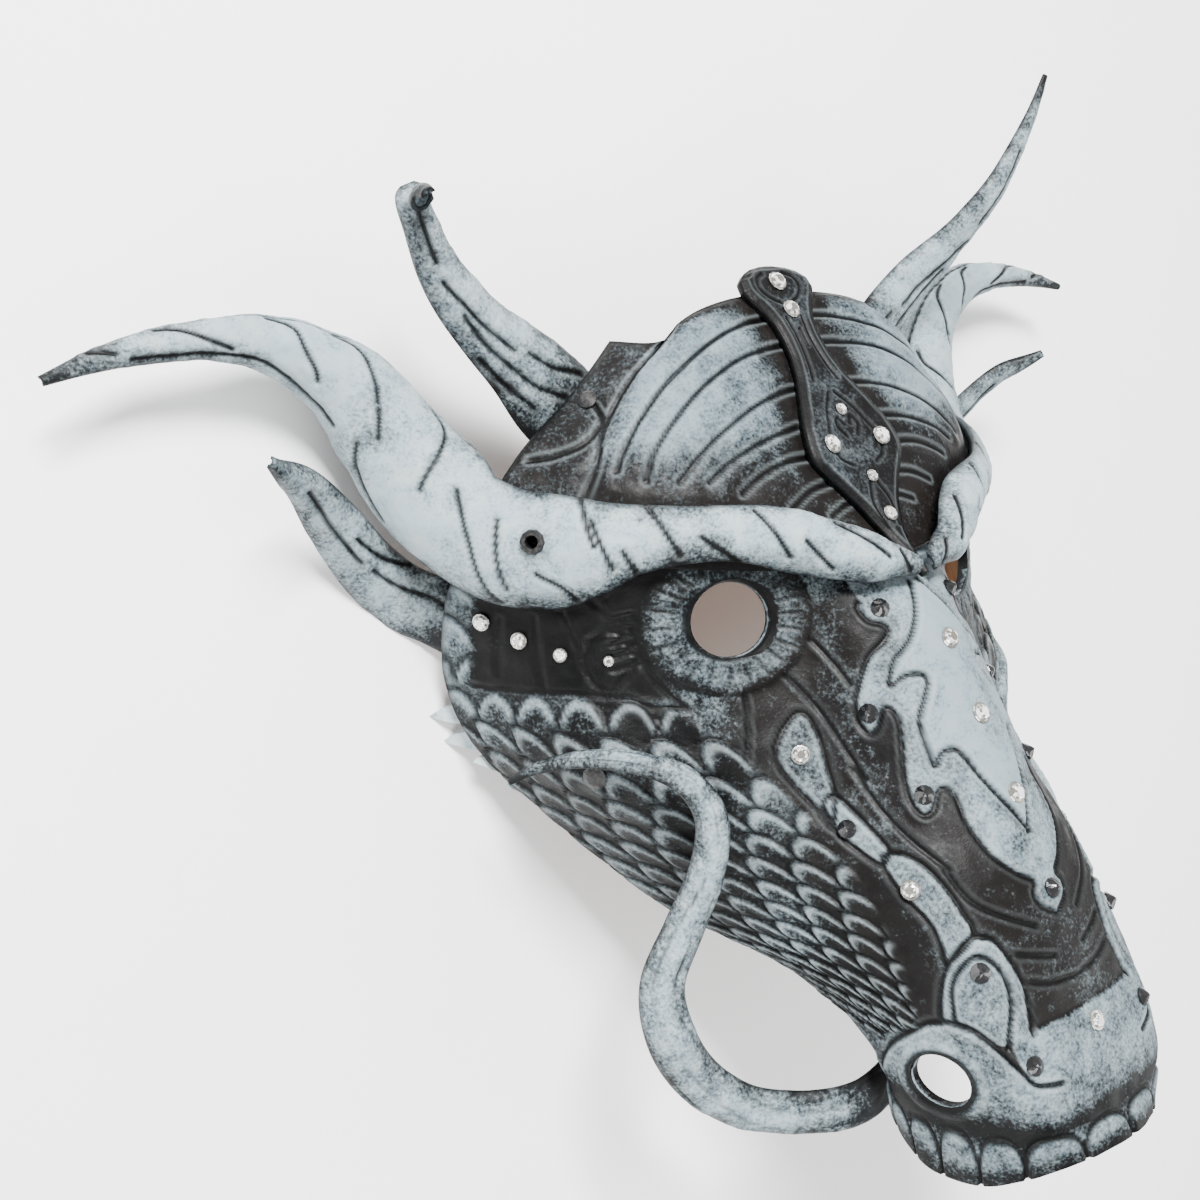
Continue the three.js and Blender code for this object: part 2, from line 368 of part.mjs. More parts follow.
// ---------------------------------------------------------------- jaw spikes on a band inside the cheek edge
const LEAF = [[-1, 0], [-0.5, 0.62], [0, 1], [0.5, 0.62], [1, 0]];
const leafColumns = [[SPIKE_RANGE[0], 0, 0.8, 0.1, -0.6]];
for (const [c, l, w, ...dir] of SPIKES) for (const [d, f] of LEAF) leafColumns.push([c + d * w, l * f, ...dir]);
leafColumns.push([SPIKE_RANGE[1], 0, 0.8, 0.4, -0.4]);
function spikePoint(a, t, g, h) {
  const [s, len, x, y, z] = leafColumns[Math.round(a * (leafColumns.length - 1))];
  const p = offsetSheet(s, g * (1 - SPIKE_BAND * (1 - Math.min(1, t * 2))), -(LEATHER + 3 * GAP) - h);
  return t <= 0.5 ? p : p.addScaledVector(new THREE.Vector3(g * x, y, z).normalize(), (0.6 + len) * (t - 0.5) * 2);
}
for (const [side, g] of [['right', -1], ['left', 1]]) {
  add('jaw_spikes_' + side, fromManifold(restFlat(toManifold(slab(leafColumns.length - 1, 2, (a, b) => spikePoint(a, b, g, 0), (a, b) => spikePoint(a, b, g, 2))))), leather(0xb6c0c4));
}

// ---------------------------------------------------------------- rivets and stones
const topOf = { 0: 0.6, 1: CROWN_LIFT + LEATHER + 0.5, 2: strapBase + LEATHER + 0.45 };
for (const [side, g] of [['right', -1], ['left', 1]]) {
  for (const [name, r, h0] of [['crown_snap_', CROWN_SNAP, topOf[1]], ['cheek_rivet_', CHEEK_RIVET, 0.6]]) {
    const n = sheetNormal(r.s, g * r.v);
    add(name + side, turned([[0, 0], [r.r, 0], [r.r, r.h * 0.35], [r.r * 0.62, r.h * 0.85], [0, r.h]], 10, sheet(r.s, g * r.v).addScaledVector(n, h0), n), metal());
  }
}
function stone(name, s, v, kind, k, layer) {
  const free = layer === 2 && s < STRAP_FREE, n = sheetNormal(free ? STRAP_FREE : s, v), at = layer === 2 ? strapPoint(s, sheet(Math.max(s, STRAP_FREE), v).x, topOf[2]) : sheet(s, v).addScaledVector(n, topOf[layer]);
  const r = STONE_R * k, clear = kind === 'clear';
  const profile = clear ? [[0, 0], [r, 0], [r, 0.5 * k], [r * 0.6, 1.5 * k], [0, 1.5 * k]] : [[0, 0], [r * 1.05, 0], [r * 1.05, 0.4 * k], [0, 2.3 * k]];
  add((clear ? 'stone_' : 'stud_') + name, turned(profile, 6, at, n), clear ? clearStone() : blackStone());
}
for (const [name, s, v, kind, k, layer] of CENTRE_STONES) stone(name, s, v, kind, k, layer);
for (const [name, s, v, kind, k, layer] of PAIR_STONES) for (const [side, g] of [['right', -1], ['left', 1]]) stone(name + '_' + side, s, g * v, kind, k, layer);

export default group;
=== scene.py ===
import bpy, bmesh, math
import numpy as np
from mathutils import Vector, Matrix, kdtree


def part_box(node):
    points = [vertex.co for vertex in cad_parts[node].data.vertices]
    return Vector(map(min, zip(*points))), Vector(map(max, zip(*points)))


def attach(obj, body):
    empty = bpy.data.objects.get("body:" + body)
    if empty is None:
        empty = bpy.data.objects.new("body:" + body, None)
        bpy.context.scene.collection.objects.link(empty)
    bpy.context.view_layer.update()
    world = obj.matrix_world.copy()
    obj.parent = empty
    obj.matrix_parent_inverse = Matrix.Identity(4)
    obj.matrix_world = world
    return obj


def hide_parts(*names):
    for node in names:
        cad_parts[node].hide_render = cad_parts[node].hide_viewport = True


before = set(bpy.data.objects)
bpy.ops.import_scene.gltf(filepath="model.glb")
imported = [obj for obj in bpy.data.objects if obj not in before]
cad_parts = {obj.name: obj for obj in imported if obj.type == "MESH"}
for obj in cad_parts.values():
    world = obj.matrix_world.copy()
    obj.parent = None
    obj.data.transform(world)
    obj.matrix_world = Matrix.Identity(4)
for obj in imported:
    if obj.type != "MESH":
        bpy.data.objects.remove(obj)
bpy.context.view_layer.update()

# Leather dragon mask: the look of the formed sheets, horns, barbels and stones. Sizes in millimetres, turned to metres at the end.
SECTIONS = [  # crownEdge, crownRoll, crownTop, crownMid, crownLow, eyes, underEyes, midSnout, lowCheek, stopSnout, nostrils, noseFront, lip
    [[0, 78.3, -43], [15, 77.3, -42], [28, 74.8, -41.2], [36.5, 71.4, -41], [42.5, 67.9, -41.8], [48.5, 70.2, -52]],
    [[0, 70.5, -39.3], [18, 70, -37.5], [32, 67.8, -36.5], [43, 64.2, -38], [50.3, 60.7, -43.5], [56.5, 62, -54]],
    [[0, 55, -32.2], [21, 55.5, -30.5], [37, 55, -31.5], [49.5, 53.5, -36.3], [57, 52.5, -45], [65, 54.8, -56.2]],
    [[0, 36, -23.5], [22, 36.5, -23], [41, 38, -26.5], [55.5, 39.5, -32.5], [67, 41.5, -44], [80, 43.5, -58.5]],
    [[0, 11, -12.6], [21, 12.6, -15.6], [39, 15, -21.5], [58, 18.5, -30], [78, 24, -48], [92, 28, -64]],
    [[0, -8, 1.5], [19, -6, -7.5], [33, -3.5, -21.5], [57, 1, -30], [78, 6, -50], [95.5, 12, -77]],
    [[0, -28, 9], [19, -26, 0], [33, -22.5, -17.5], [57, -19, -31.5], [79, -14, -50], [94.5, -10, -85.5]],
    [[0, -50, 17.8], [20.6, -50, 8.2], [35, -46.5, -11], [57, -41.5, -27], [80, -35.5, -44.5], [89.5, -29.5, -82.5]],
    [[0, -70, 24.5], [24, -70, 17], [35.5, -67, -2], [48, -63.5, -21], [64, -58.5, -39.5], [75, -54, -69.5]],
    [[0, -90, 30], [26, -90, 24], [34.5, -88, 8], [41, -85.5, -10], [48, -83, -28], [56, -80, -53]],
    [[0, -110, 35], [26, -110, 31], [34, -108, 18], [38, -104, 2], [40.5, -100, -10], [42, -94, -28]],
    [[0, -125, 39], [23, -125, 36], [33, -123, 24], [37, -120, 10], [38, -117, 0], [36, -112, -5]],
    [[0, -138, 42], [20, -140, 35], [30, -144, 22], [34, -143, 10], [35, -138, 3], [34, -130, -4]],
]
BROW_HORN = [
  [2.6, 4, 2.2, 2.6, 2.4, 80, 0.1, 0.1, 1],
  [8, 6, 1.8, 4.2, 4, 82, 0.15, 0.1, 1],
  [17, 8.8, 1.4, 6.6, 6.5, 85, 0.25, 0.1, 1],
  [33, 15.3, -5.8, 8.1, 9, 88, 0.38, 0.1, 0.96],
  [48, 20.3, -13.8, 9, 10, 90, 0.45, 0.12, 0.95],
  [64, 22.8, -24.6, 12.4, 12, 92, 0.5, 0.15, 0.9],
  [79, 23.9, -35.4, 15.8, 13.5, 94, 0.52, 0.12, 0.87],
  [91, 27, -48.6, 17.6, 14, 100, 0.5, 0, 0.88],
  [101, 40, -61, 15.8, 13, 110, 0.45, 0, 0.9],
  [108, 55.9, -67.6, 13.4, 12, 120, 0.4, 0, 0.92],
  [116, 70.3, -70, 10.4, 9.6, 124, 0.35, 0, 0.93],
  [130, 80.8, -72, 7.2, 6.6, 124, 0.25, 0.1, 0.95],
  [146, 84, -72.5, 4.9, 4.5, 122, 0.2, 0.15, 0.95],
  [163, 83.2, -74.5, 3.6, 3.2, 118, 0.15, 0.2, 0.94],
  [175, 80.8, -74.7, 2.4, 2.2, 112, 0.15, 0.2, 0.94],
  [186, 77.6, -74.5, 1.2, 1.2, 100, 0.15, 0.2, 0.94],
]
UPPER_HORN_RIGHT = [
  [50, 48, -61.5, 12.8, 5, 80, 0.42, 0.2, 0.9],
  [61, 59.2, -60.6, 12.6, 5.5, 84, 0.4, 0.2, 0.9],
  [71, 69.1, -58.6, 10.2, 5.4, 88, 0.38, 0.15, 0.92],
  [81, 77.2, -56.4, 8.1, 5, 92, 0.36, 0.1, 0.94],
  [91, 85.9, -53.4, 6.5, 4.4, 96, 0.36, 0, 0.93],
  [98, 94, -50.4, 5.2, 3.8, 100, 0.4, 0, 0.9],
  [102, 102, -48.3, 4.3, 3.2, 102, 0.45, 0.05, 0.88],
  [105.5, 107.6, -45, 3.6, 2.7, 100, 0.45, 0.4, 0.7],
  [108, 109.4, -38.5, 2.6, 2.1, 96, 0.4, 0.8, 0.3],
  [109.5, 107.4, -33, 1.7, 1.6, 92, 0.3, 0.9, -0.1],
]
UPPER_HORN_LEFT = [
  [50, 48, -61.5, 12.8, 5, 80, 0.42, 0.2, 0.9],
  [61, 59.4, -60.6, 12.4, 5.5, 84, 0.4, 0.2, 0.9],
  [70.5, 70.5, -58.2, 10, 5.4, 88, 0.38, 0.15, 0.92],
  [79.5, 80, -54, 8, 5, 92, 0.36, 0.1, 0.94],
  [89, 87.6, -48, 7, 4.6, 96, 0.36, 0, 0.93],
  [96, 96, -40.8, 6.2, 4.2, 100, 0.4, 0, 0.9],
  [102, 104.7, -35.2, 5.2, 3.7, 102, 0.42, 0, 0.88],
  [108, 115.2, -31.5, 3.8, 2.9, 102, 0.42, 0, 0.88],
  [114, 125.8, -28.8, 2.7, 2.2, 98, 0.45, 0, 0.86],
  [120, 137.4, -27.3, 1.3, 1.3, 94, 0.5, 0, 0.85],
]
TEMPLE_HORN = [
  [87, 1, -81, 9, 3.2, 76, 0.8, 0, 0.6],
  [94, 8, -85.2, 9.6, 3.6, 80, 0.75, 0, 0.66],
  [103, 14.5, -87, 9, 4.2, 84, 0.7, 0.1, 0.7],
  [112, 23, -84, 8, 4.4, 88, 0.6, 0.2, 0.75],
  [123, 36, -77, 6.6, 4, 92, 0.55, 0.2, 0.8],
  [134, 47, -67, 4, 3, 96, 0.5, 0.2, 0.83],
  [145, 53, -57, 1.4, 1.3, 92, 0.45, 0.2, 0.85],
]
BARBEL_ROOT = [
  [25, -126.5, -8.2, 5.2, 2.8, 78, 0.15, 0.1, 1],
  [32, -129.3, -8.8, 5.8, 2.8, 80, 0.2, 0.1, 0.98],
  [38.5, -130.6, -9.8, 6.1, 3.2, 82, 0.3, 0, 0.95],
  [47, -130, -12, 6.2, 3.4, 84, 0.4, -0.1, 0.9],
  [56, -128.4, -17.2, 6.2, 3.5, 84, 0.45, -0.15, 0.88],
  [66, -124.2, -23.4, 6.2, 3.6, 86, 0.5, -0.15, 0.86],
  [76, -113.6, -26.2, 6.3, 3.7, 88, 0.5, -0.05, 0.86],
  [83, -99.6, -25.4, 6.3, 3.8, 88, 0.5, 0, 0.86],
  [82, -86.7, -27, 5.8, 3.6, 88, 0.5, 0, 0.86],
]
BARBEL_RIGHT = [*BARBEL_ROOT,
  [74, -74.5, -25.4, 5.3, 3.3, 88, 0.48, 0, 0.87],
  [68.5, -60, -19.9, 4.7, 3, 88, 0.45, 0.1, 0.86],
  [67.5, -46.5, -16.8, 4.2, 2.7, 88, 0.42, 0.35, 0.8],
  [72, -36, -17.6, 3.7, 2.4, 88, 0.4, 0.6, 0.7],
  [79.5, -29.6, -23.8, 3.2, 2.1, 86, 0.42, 0.7, 0.6],
  [87.5, -27.2, -36.5, 2.7, 1.9, 84, 0.48, 0.7, 0.5],
  [93.5, -29, -49, 2, 1.6, 82, 0.5, 0.7, 0.42],
  [98, -32.6, -57, 1.1, 1.1, 80, 0.5, 0.7, 0.4],
]
BARBEL_LEFT = [*BARBEL_ROOT,
  [76, -74.5, -27.5, 5.3, 3.3, 88, 0.48, 0, 0.87],
  [73, -65, -31, 4.7, 3, 88, 0.45, 0.1, 0.86],
  [72, -56, -34, 4.1, 2.6, 88, 0.42, 0.3, 0.82],
  [75.5, -47, -36.4, 3.5, 2.3, 88, 0.42, 0.5, 0.74],
  [82, -40.5, -40.5, 3, 2.1, 86, 0.45, 0.6, 0.64],
  [89.5, -36, -48.5, 2.3, 1.7, 84, 0.5, 0.6, 0.55],
  [95.5, -34.5, -57, 1.1, 1.1, 80, 0.5, 0.6, 0.5],
]
STRAP = [[-0.99, 1.2], [-0.93, 6], [-0.72, 10], [-0.41, 12.8], [0.03, 13.2], [0.49, 11.6], [0.91, 9.2], [1.19, 7.7], [1.49, 7.2], [1.79, 7.6],
  [2.14, 9.4], [2.53, 13.1], [2.83, 15.9], [3.06, 17.1], [3.2, 17], [3.32, 14.8], [3.5, 11], [3.72, 7], [4, 3.9], [4.3, 2.2], [4.66, 0.8]]
CENTRE_STONES = [
  ['strap_1', -0.181, 0, 'clear', 1.05, 2], ['strap_2', 0.927, 0, 'clear', 1, 2], ['strap_3', 2.665, 0, 'clear', 0.66, 2],
  ['strap_5', 3.443, 0, 'clear', 0.66, 2], ['strap_6', 3.853, 0, 'clear', 0.8, 2],
  ['snout_1', 5.394, 0, 'clear', 1.05, 0], ['snout_2', 6.319, 0, 'clear', 1.05, 0], ['snout_3', 7.23, 0, 'clear', 1.05, 0],
  ['nose', 10.034, 0, 'clear', 0.95, 0], ['plate_tip', 8.408, 0, 'black', 1, 0]]
PAIR_STONES = [
  ['strap_4', 3.059, 0.087, 'clear', 1, 2],
  ['temple_1', 5.203, 0.935, 'clear', 0.9, 0], ['temple_2', 5.4, 0.875, 'clear', 0.85, 0], ['temple_3', 5.554, 0.812, 'clear', 0.7, 0], ['temple_4', 5.601, 0.734, 'clear', 0.52, 0],
  ['flank_1', 6.684, 0.428, 'clear', 0.95, 0], ['flank_2', 7.501, 0.387, 'black', 0.95, 0], ['flank_3', 8.146, 0.3, 'clear', 0.95, 0], ['flank_4', 9.06, 0.209, 'black', 1, 0],
  ['plate_1', 4.922, 0.138, 'black', 1, 0], ['plate_2', 6.217, 0.262, 'black', 1, 0], ['plate_3', 7.035, 0.2, 'black', 1, 0], ['nose_side', 10.211, 0.173, 'black', 0.95, 0]]
# tooled lines as stations along and shares across the sheet (near half; mirrored for the other)
LINES = {
    'face': {
        'plate_in': [[4.588, -0.0145], [4.824, -0.0389], [5.095, -0.0701], [5.379, -0.1101], [5.603, -0.1568], [5.898, -0.1902], [5.792, -0.1479], [5.78, -0.1123], [5.863, -0.1012], [6.063, -0.1235], [6.264, -0.1524], [6.453, -0.1591], [6.63, -0.1591], [6.748, -0.1568], [6.642, -0.1346], [6.606, -0.1057], [6.701, -0.0879], [6.984, -0.0656], [7.704, 0.0033]],
        'plate_out': [[4.836, -0.1791], [4.918, -0.188], [5.084, -0.1769], [5.131, -0.1502], [5.225, -0.1435], [5.367, -0.168], [5.556, -0.2147], [5.78, -0.2458], [6.087, -0.2814], [6.311, -0.2903], [6.429, -0.2747], [6.347, -0.2503], [6.181, -0.2303], [6.158, -0.2102], [6.288, -0.1991], [6.512, -0.2102], [6.807, -0.2258], [7.09, -0.2325], [7.255, -0.2169], [7.208, -0.1924], [7.019, -0.1702], [6.984, -0.1502], [7.102, -0.1368], [7.421, -0.1324], [7.834, -0.1057], [8.117, -0.0634], [8.259, -0.0345], [8.4, -0.0456], [8.565, -0.0367], [8.695, -0.0033]],
        'A': [[6.618, -0.4705], [6.417, -0.4461], [6.264, -0.4149], [6.288, -0.3949], [6.524, -0.3815], [6.819, -0.3815], [7.043, -0.3838], [7.503, -0.4149], [7.255, -0.4327], [7.031, -0.4527], [6.783, -0.4727], [6.618, -0.4705]],
        'B': [[7.161, -0.4082], [7.102, -0.3838], [7.267, -0.3593], [7.562, -0.3259], [7.716, -0.317], [7.893, -0.3504], [7.621, -0.4038], [7.291, -0.4171], [7.161, -0.4082]],
        'C': [[7.786, -0.337], [7.716, -0.2948], [7.822, -0.2547], [8.082, -0.2214], [8.377, -0.2013], [8.636, -0.1947], [8.967, -0.2836], [8.813, -0.2814], [8.53, -0.2881], [8.247, -0.3237], [7.964, -0.3415], [7.786, -0.337]],
        'D': [[9.734, -0.3927], [9.415, -0.3526], [9.026, -0.2903], [8.683, -0.2058], [8.731, -0.1568], [9.014, -0.1346], [9.309, -0.1257], [9.592, -0.1346], [9.84, -0.1457]],
        'D2': [[9.663, -0.3437], [9.226, -0.297], [8.92, -0.2258], [8.908, -0.1835], [9.144, -0.1591], [9.462, -0.1657], [9.935, -0.2125]],
        'nose_curl': [[10.973, -0.8154], [10.631, -0.7108], [10.171, -0.564], [9.828, -0.4572], [9.71, -0.3882], [9.687, -0.3304], [9.746, -0.2814], [9.958, -0.2369], [10.241, -0.2102], [10.477, -0.1947], [10.548, -0.1635], [10.595, -0.1301]],
        'nose_top': [[9.84, -0.1457], [9.805, -0.0834], [9.746, -0.0189], [9.746, 0.0567], [9.805, 0.1123]],
        't1': [[5.143, -0.9088], [5.851, -0.911]],
        't2': [[5.095, -0.8532], [6.004, -0.8465]],
        't3': [[4.989, -0.8065], [6.028, -0.7575]],
        't4': [[4.8, -0.7531], [5.827, -0.6574], [6.181, -0.604]],
        't5': [[6.004, -0.96], [6.04, -0.9132], [6.028, -0.822], [6.075, -0.7241], [6.146, -0.6752], [6.158, -0.604]],
        't6': [[5.343, -0.762], [5.131, -0.7108], [5.509, -0.6796], [5.969, -0.7397], [5.733, -0.7753], [5.343, -0.762]],
        'crease': [[6.63, -0.604], [7.208, -0.6018], [7.905, -0.6574], [8.459, -0.7531], [8.979, -0.8865]],
        'lipteeth': [[11.87, -0.9021], [11.929, -0.7397], [11.965, -0.564], [11.906, -0.4082], [11.929, -0.2703], [11.929, -0.168], [11.953, -0.0745], [12.0, 0.0189], [12.0, 0.1257]],
        'cheekline': [[6.252, -0.6596], [6.63, -0.604], [6.901, -0.5573], [6.842, -0.4905], [7.173, -0.4572], [7.775, -0.4238], [8.353, -0.4127], [8.908, -0.4016], [9.51, -0.4372], [10.147, -0.5684]],
    },
    'crown': {
        'rib1': [[3.153, -0.7152], [2.823, -0.7019], [2.247, -0.6485], [1.61, -0.5595], [1.218, -0.3993], [0.998, -0.1991], [0.931, -0.0857]],
        'rib2': [[3.257, -0.6352], [2.902, -0.6107], [2.425, -0.535], [1.984, -0.4349], [1.69, -0.2948], [1.549, -0.1524], [1.5, -0.0656]],
        'rib3': [[3.276, -0.5506], [2.957, -0.4638], [2.664, -0.3682], [2.419, -0.2659], [2.259, -0.1568], [2.21, -0.0879]],
        'rib4': [[3.288, -0.4638], [3.031, -0.3571], [2.841, -0.2503], [2.731, -0.1368]],
        'rib5': [[3.423, -0.3771], [3.245, -0.3014], [3.123, -0.2125], [3.104, -0.1346]],
        'rib6': [[3.606, -0.2503], [3.447, -0.1746], [3.392, -0.0945]],
        'rib7': [[3.735, -0.1457], [3.643, -0.0945], [3.619, -0.0412]],
        'border': [[0.484, -0.6863], [1.065, -0.7753], [1.984, -0.7931], [2.584, -0.7931], [3.074, -0.7753]],
        'tab': [[1.861, -0.8776], [2.217, -0.8198], [2.517, -0.8154], [2.786, -0.8443], [2.927, -0.9021], [2.988, -0.96]],
    },
    'horns': {
        'brow': [[[13.948, -0.8106], [13.497, 0.182]], [[12.745, -0.9126], [12.505, -0.5737], [12.144, 0.229], [11.784, 0.6946]], [[11.242, -0.9556], [10.942, -0.6703], [10.701, -0.0545], [10.431, 0.3449], [10.341, 0.5261]], [[10.431, -1.0711], [10.1, -0.9217], [9.83, -0.5201], [9.499, -0.1592]], [[9.409, -0.088], [9.078, 0.258]], [[8.928, -1.172], [8.687, -0.9807], [8.447, -0.4585], [8.297, 0.0352], [8.236, 0.2068]], [[7.275, -0.1436], [6.944, 0.8088]], [[5.922, -0.3173], [5.681, 0.5205]], [[5.17, -0.6116], [4.78, 0.4724]], [[5.531, 0.2438], [5.351, 0.7532]], [[6.673, 0.4703], [6.403, 0.7103], [6.222, 1.0953]], [[4.509, 0.1293], [3.998, 0.9069]], [[3.818, -0.7014], [3.246, 0.5891]], [[3.066, 0.0197], [2.615, 0.8074]], [[2.645, -0.9452], [1.774, -0.0366]]],
        'upper': [[[3.679, 0.4029], [3.102, 0.5015], [2.363, 0.4329], [1.605, 0.2662], [0.92, -0.1105]], [[2.056, -0.22], [1.497, -0.391], [0.884, -0.8454]], [[2.85, 1.059], [2.074, 0.9195], [1.281, 0.5868]]],
        'temple': [[[3.583, -0.3842], [3.006, -0.6584], [2.285, -1.1613]], [[2.934, -0.1415], [2.116, -0.2849], [1.371, -0.4183], [0.914, -0.3622]]],
    },
}

ROWS = np.array(SECTIONS, float)
NS, NR = len(ROWS) - 1, ROWS.shape[1] - 1
LEATHER, HORN_LEATHER, GAP, SEAT, CROWN_LIFT = 2.6, 2.4, 0.35, 0.55, 0.35
CROWN_END, FACE_START, STRAP_FREE = 4.28, 3.75, 0.3
PITCH, LIFT, SHIFT_Y = math.radians(0.66), 93.6, 2.9
EYE, EYE_HOLE, NOSTRIL_AT, NOSTRIL = (5.049, 0.504), (22, 19), (10.735, 0.5), (15, 12.5)


def curve(rows, t):
    rows = np.asarray(rows, float); n = len(rows) - 1; t = np.asarray(t, float)
    g = np.concatenate([[2 * rows[0] - rows[1]], rows, [2 * rows[n] - rows[n - 1]]])
    def inner(u):
        i = np.clip(np.floor(u).astype(int), 0, n - 1); f = (u - i)[:, None]
        w = [(-f + 2 * f * f - f ** 3) / 2, (2 - 5 * f * f + 3 * f ** 3) / 2, (f + 4 * f * f - 3 * f ** 3) / 2, (f ** 3 - f * f) / 2]
        return sum(w[k] * g[i + k] for k in range(4))
    out = inner(np.clip(t, 0, n))
    lo, hi = t < 0, t > n
    if lo.any(): out[lo] += (inner(np.array([0.0])) - inner(np.array([0.05]))) * (-t[lo] / 0.05)[:, None]
    if hi.any(): out[hi] += (inner(np.array([float(n)])) - inner(np.array([n - 0.05]))) * ((t[hi] - n) / 0.05)[:, None]
    return out


def sheet(s, v):
    s, v = np.broadcast_arrays(np.asarray(s, float), np.asarray(v, float)); shape = s.shape; s, v = s.ravel(), v.ravel()
    av = np.minimum(np.abs(v), 1.0); t = av * NR
    flat = curve(ROWS.reshape(NS + 1, -1), s).reshape(-1, NR + 1, 3)
    first = flat[:, 1:2] * [-1, 1, 1]; last = 2 * flat[:, NR:] - flat[:, NR - 1:NR]
    g = np.concatenate([first, flat, last], 1)
    def at(t):
        i = np.clip(np.floor(t).astype(int), 0, NR - 1); f = (t - i)[:, None]; k = np.arange(len(t))
        w = [(-f + 2 * f * f - f ** 3) / 2, (2 - 5 * f * f + 3 * f ** 3) / 2, (f + 4 * f * f - 3 * f ** 3) / 2, (f ** 3 - f * f) / 2]
        return sum(w[m] * g[k, i + m] for m in range(4))
    out = at(t); over = np.abs(v) > 1
    if over.any():
        b = at(np.full(len(t), 0.97 * NR)); out[over] += ((out - b) * ((np.abs(v) - 1) / 0.03)[:, None])[over]
    out[:, 0] *= np.where(v < 0, -1, 1)
    return out.reshape(shape + (3,))


def unit(a): return a / np.maximum(np.linalg.norm(a, axis=-1, keepdims=True), 1e-12)


def sheet_normal(s, v):
    e = 0.02
    return unit(np.cross(sheet(s + e, v) - sheet(s - e, v), sheet(s, np.minimum(1, v + e)) - sheet(s, np.maximum(-1, v - e))))


def lying(p):
    p = np.asarray(p, float); c, s = math.cos(PITCH), math.sin(PITCH)
    return np.stack([p[..., 0], p[..., 1] * c - p[..., 2] * s + SHIFT_Y, p[..., 1] * s + p[..., 2] * c + LIFT], -1)


def room(p):
    s, v = np.full(len(p), 4.0), np.full(len(p), 0.5); e = 0.01
    for _ in range(12):
        q = sheet(s, v); r = p - q; a = (sheet(s + e, v) - q) / e; b = (sheet(s, v + e) - q) / e
        aa, ab, bb, ra, rb = (a * a).sum(1), (a * b).sum(1), (b * b).sum(1), (r * a).sum(1), (r * b).sum(1); det = aa * bb - ab * ab
        s = np.clip(s + np.clip((ra * bb - rb * ab) / det, -0.5, 0.5), 0.2, 8); v = np.clip(v + np.clip((rb * aa - ra * ab) / det, -0.1, 0.1), 0.001, 1.1)
    h = ((p - sheet(s, v)) * sheet_normal(s, v)).sum(1)
    return np.where((v > 1.03) | (s < 0.5), 99, h - np.where(s < CROWN_END + 0.1, CROWN_LIFT + LEATHER, 0) - GAP - SEAT)


def horn_frame(st, t):
    n_st = len(st) - 1; r = curve(st, t); T = unit(curve(st, np.minimum(t + 0.03, n_st))[:, :3] - curve(st, np.maximum(t - 0.03, 0))[:, :3])
    n = r[:, 6:9]; n = unit(n - T * (n * T).sum(1, keepdims=True))
    return r, T, n, np.cross(T, n)


def horn_at(fr, a, k, extra=0.0):
    r, T, n, side = fr; w, b = r[:, 3:4], r[:, 4:5]; th = np.minimum(np.minimum(HORN_LEATHER, 0.55 * w), 0.55 * b)
    a = np.asarray(a); sh = a.shape
    W, B = (w - k * th), (b - k * th)
    p = r[:, None, :3] + side[:, None] * ((W) * np.sin(a))[..., None] + n[:, None] * (B * np.cos(a) - b)[..., None]
    nr = unit(side[:, None] * (B * np.sin(a))[..., None] + n[:, None] * (W * np.cos(a))[..., None])
    return p, nr


def horn_ends(st, t, seated):
    fr = horn_frame(st, t); psi = np.radians(fr[0][:, 5])
    if not seated: return np.stack([-psi, psi], 1)
    out = []
    for g in (-1, 1):
        steps = np.arange(0.4, 2.3, 0.03); ok = np.ones((len(t), len(steps)), bool)
        A = np.tile(g * steps, (len(t), 1))
        for k in (0, 1):
            p, _ = horn_at(fr, A, k); ok &= (room(p.reshape(-1, 3)).reshape(ok.shape) > 0)
        first = np.where(ok[:, 1:].all(1), len(steps) - 1, np.argmin(ok[:, 1:], 1)); a = steps[first]
        a = np.minimum(a, psi); pad = np.pad(a, 3, mode='edge'); low = np.min([pad[k:k + len(a)] for k in range(7)], 0); pad = np.pad(low, 3, mode='edge')
        out.append(g * np.mean([pad[k:k + len(a)] for k in range(7)], 0))
    return np.stack(out, 1)

rng = np.random.default_rng(11)


# ---------------------------------------------------------------- helpers
def smooth(x, a, b):
    t = np.clip((x - a) / (b - a), 0, 1); return t * t * (3 - 2 * t)


def mesh_piece(name, P, quads, attrs, mat, node, ngons=()):
    """Object in metres from points in millimetres, with per point values for its material."""
    me = bpy.data.meshes.new(name); faces = np.asarray(quads, np.int32)
    nv, nf = len(P), len(faces); extra = [list(map(int, g)) for g in ngons]
    me.vertices.add(nv); me.vertices.foreach_set('co', (lying(P) / 1000).astype(np.float32).ravel())
    loops = list(faces.ravel()) + [i for g in extra for i in g]
    sizes = [4] * nf + [len(g) for g in extra]; starts = np.concatenate([[0], np.cumsum(sizes)[:-1]])
    me.loops.add(len(loops)); me.loops.foreach_set('vertex_index', np.array(loops, np.int32))
    me.polygons.add(len(sizes)); me.polygons.foreach_set('loop_start', starts.astype(np.int32)); me.polygons.foreach_set('loop_total', np.array(sizes, np.int32))
    me.update(calc_edges=True); me.validate()
    for k, a in attrs.items():
        at = me.attributes.new(k, 'FLOAT', 'POINT'); at.data.foreach_set('value', np.asarray(a, np.float32).ravel())
    me.polygons.foreach_set('use_smooth', np.ones(len(me.polygons), bool))
    ob = bpy.data.objects.new(name, me); bpy.context.scene.collection.objects.link(ob); me.materials.append(mat)
    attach(ob, 'root')
    if node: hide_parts(node)
    return ob


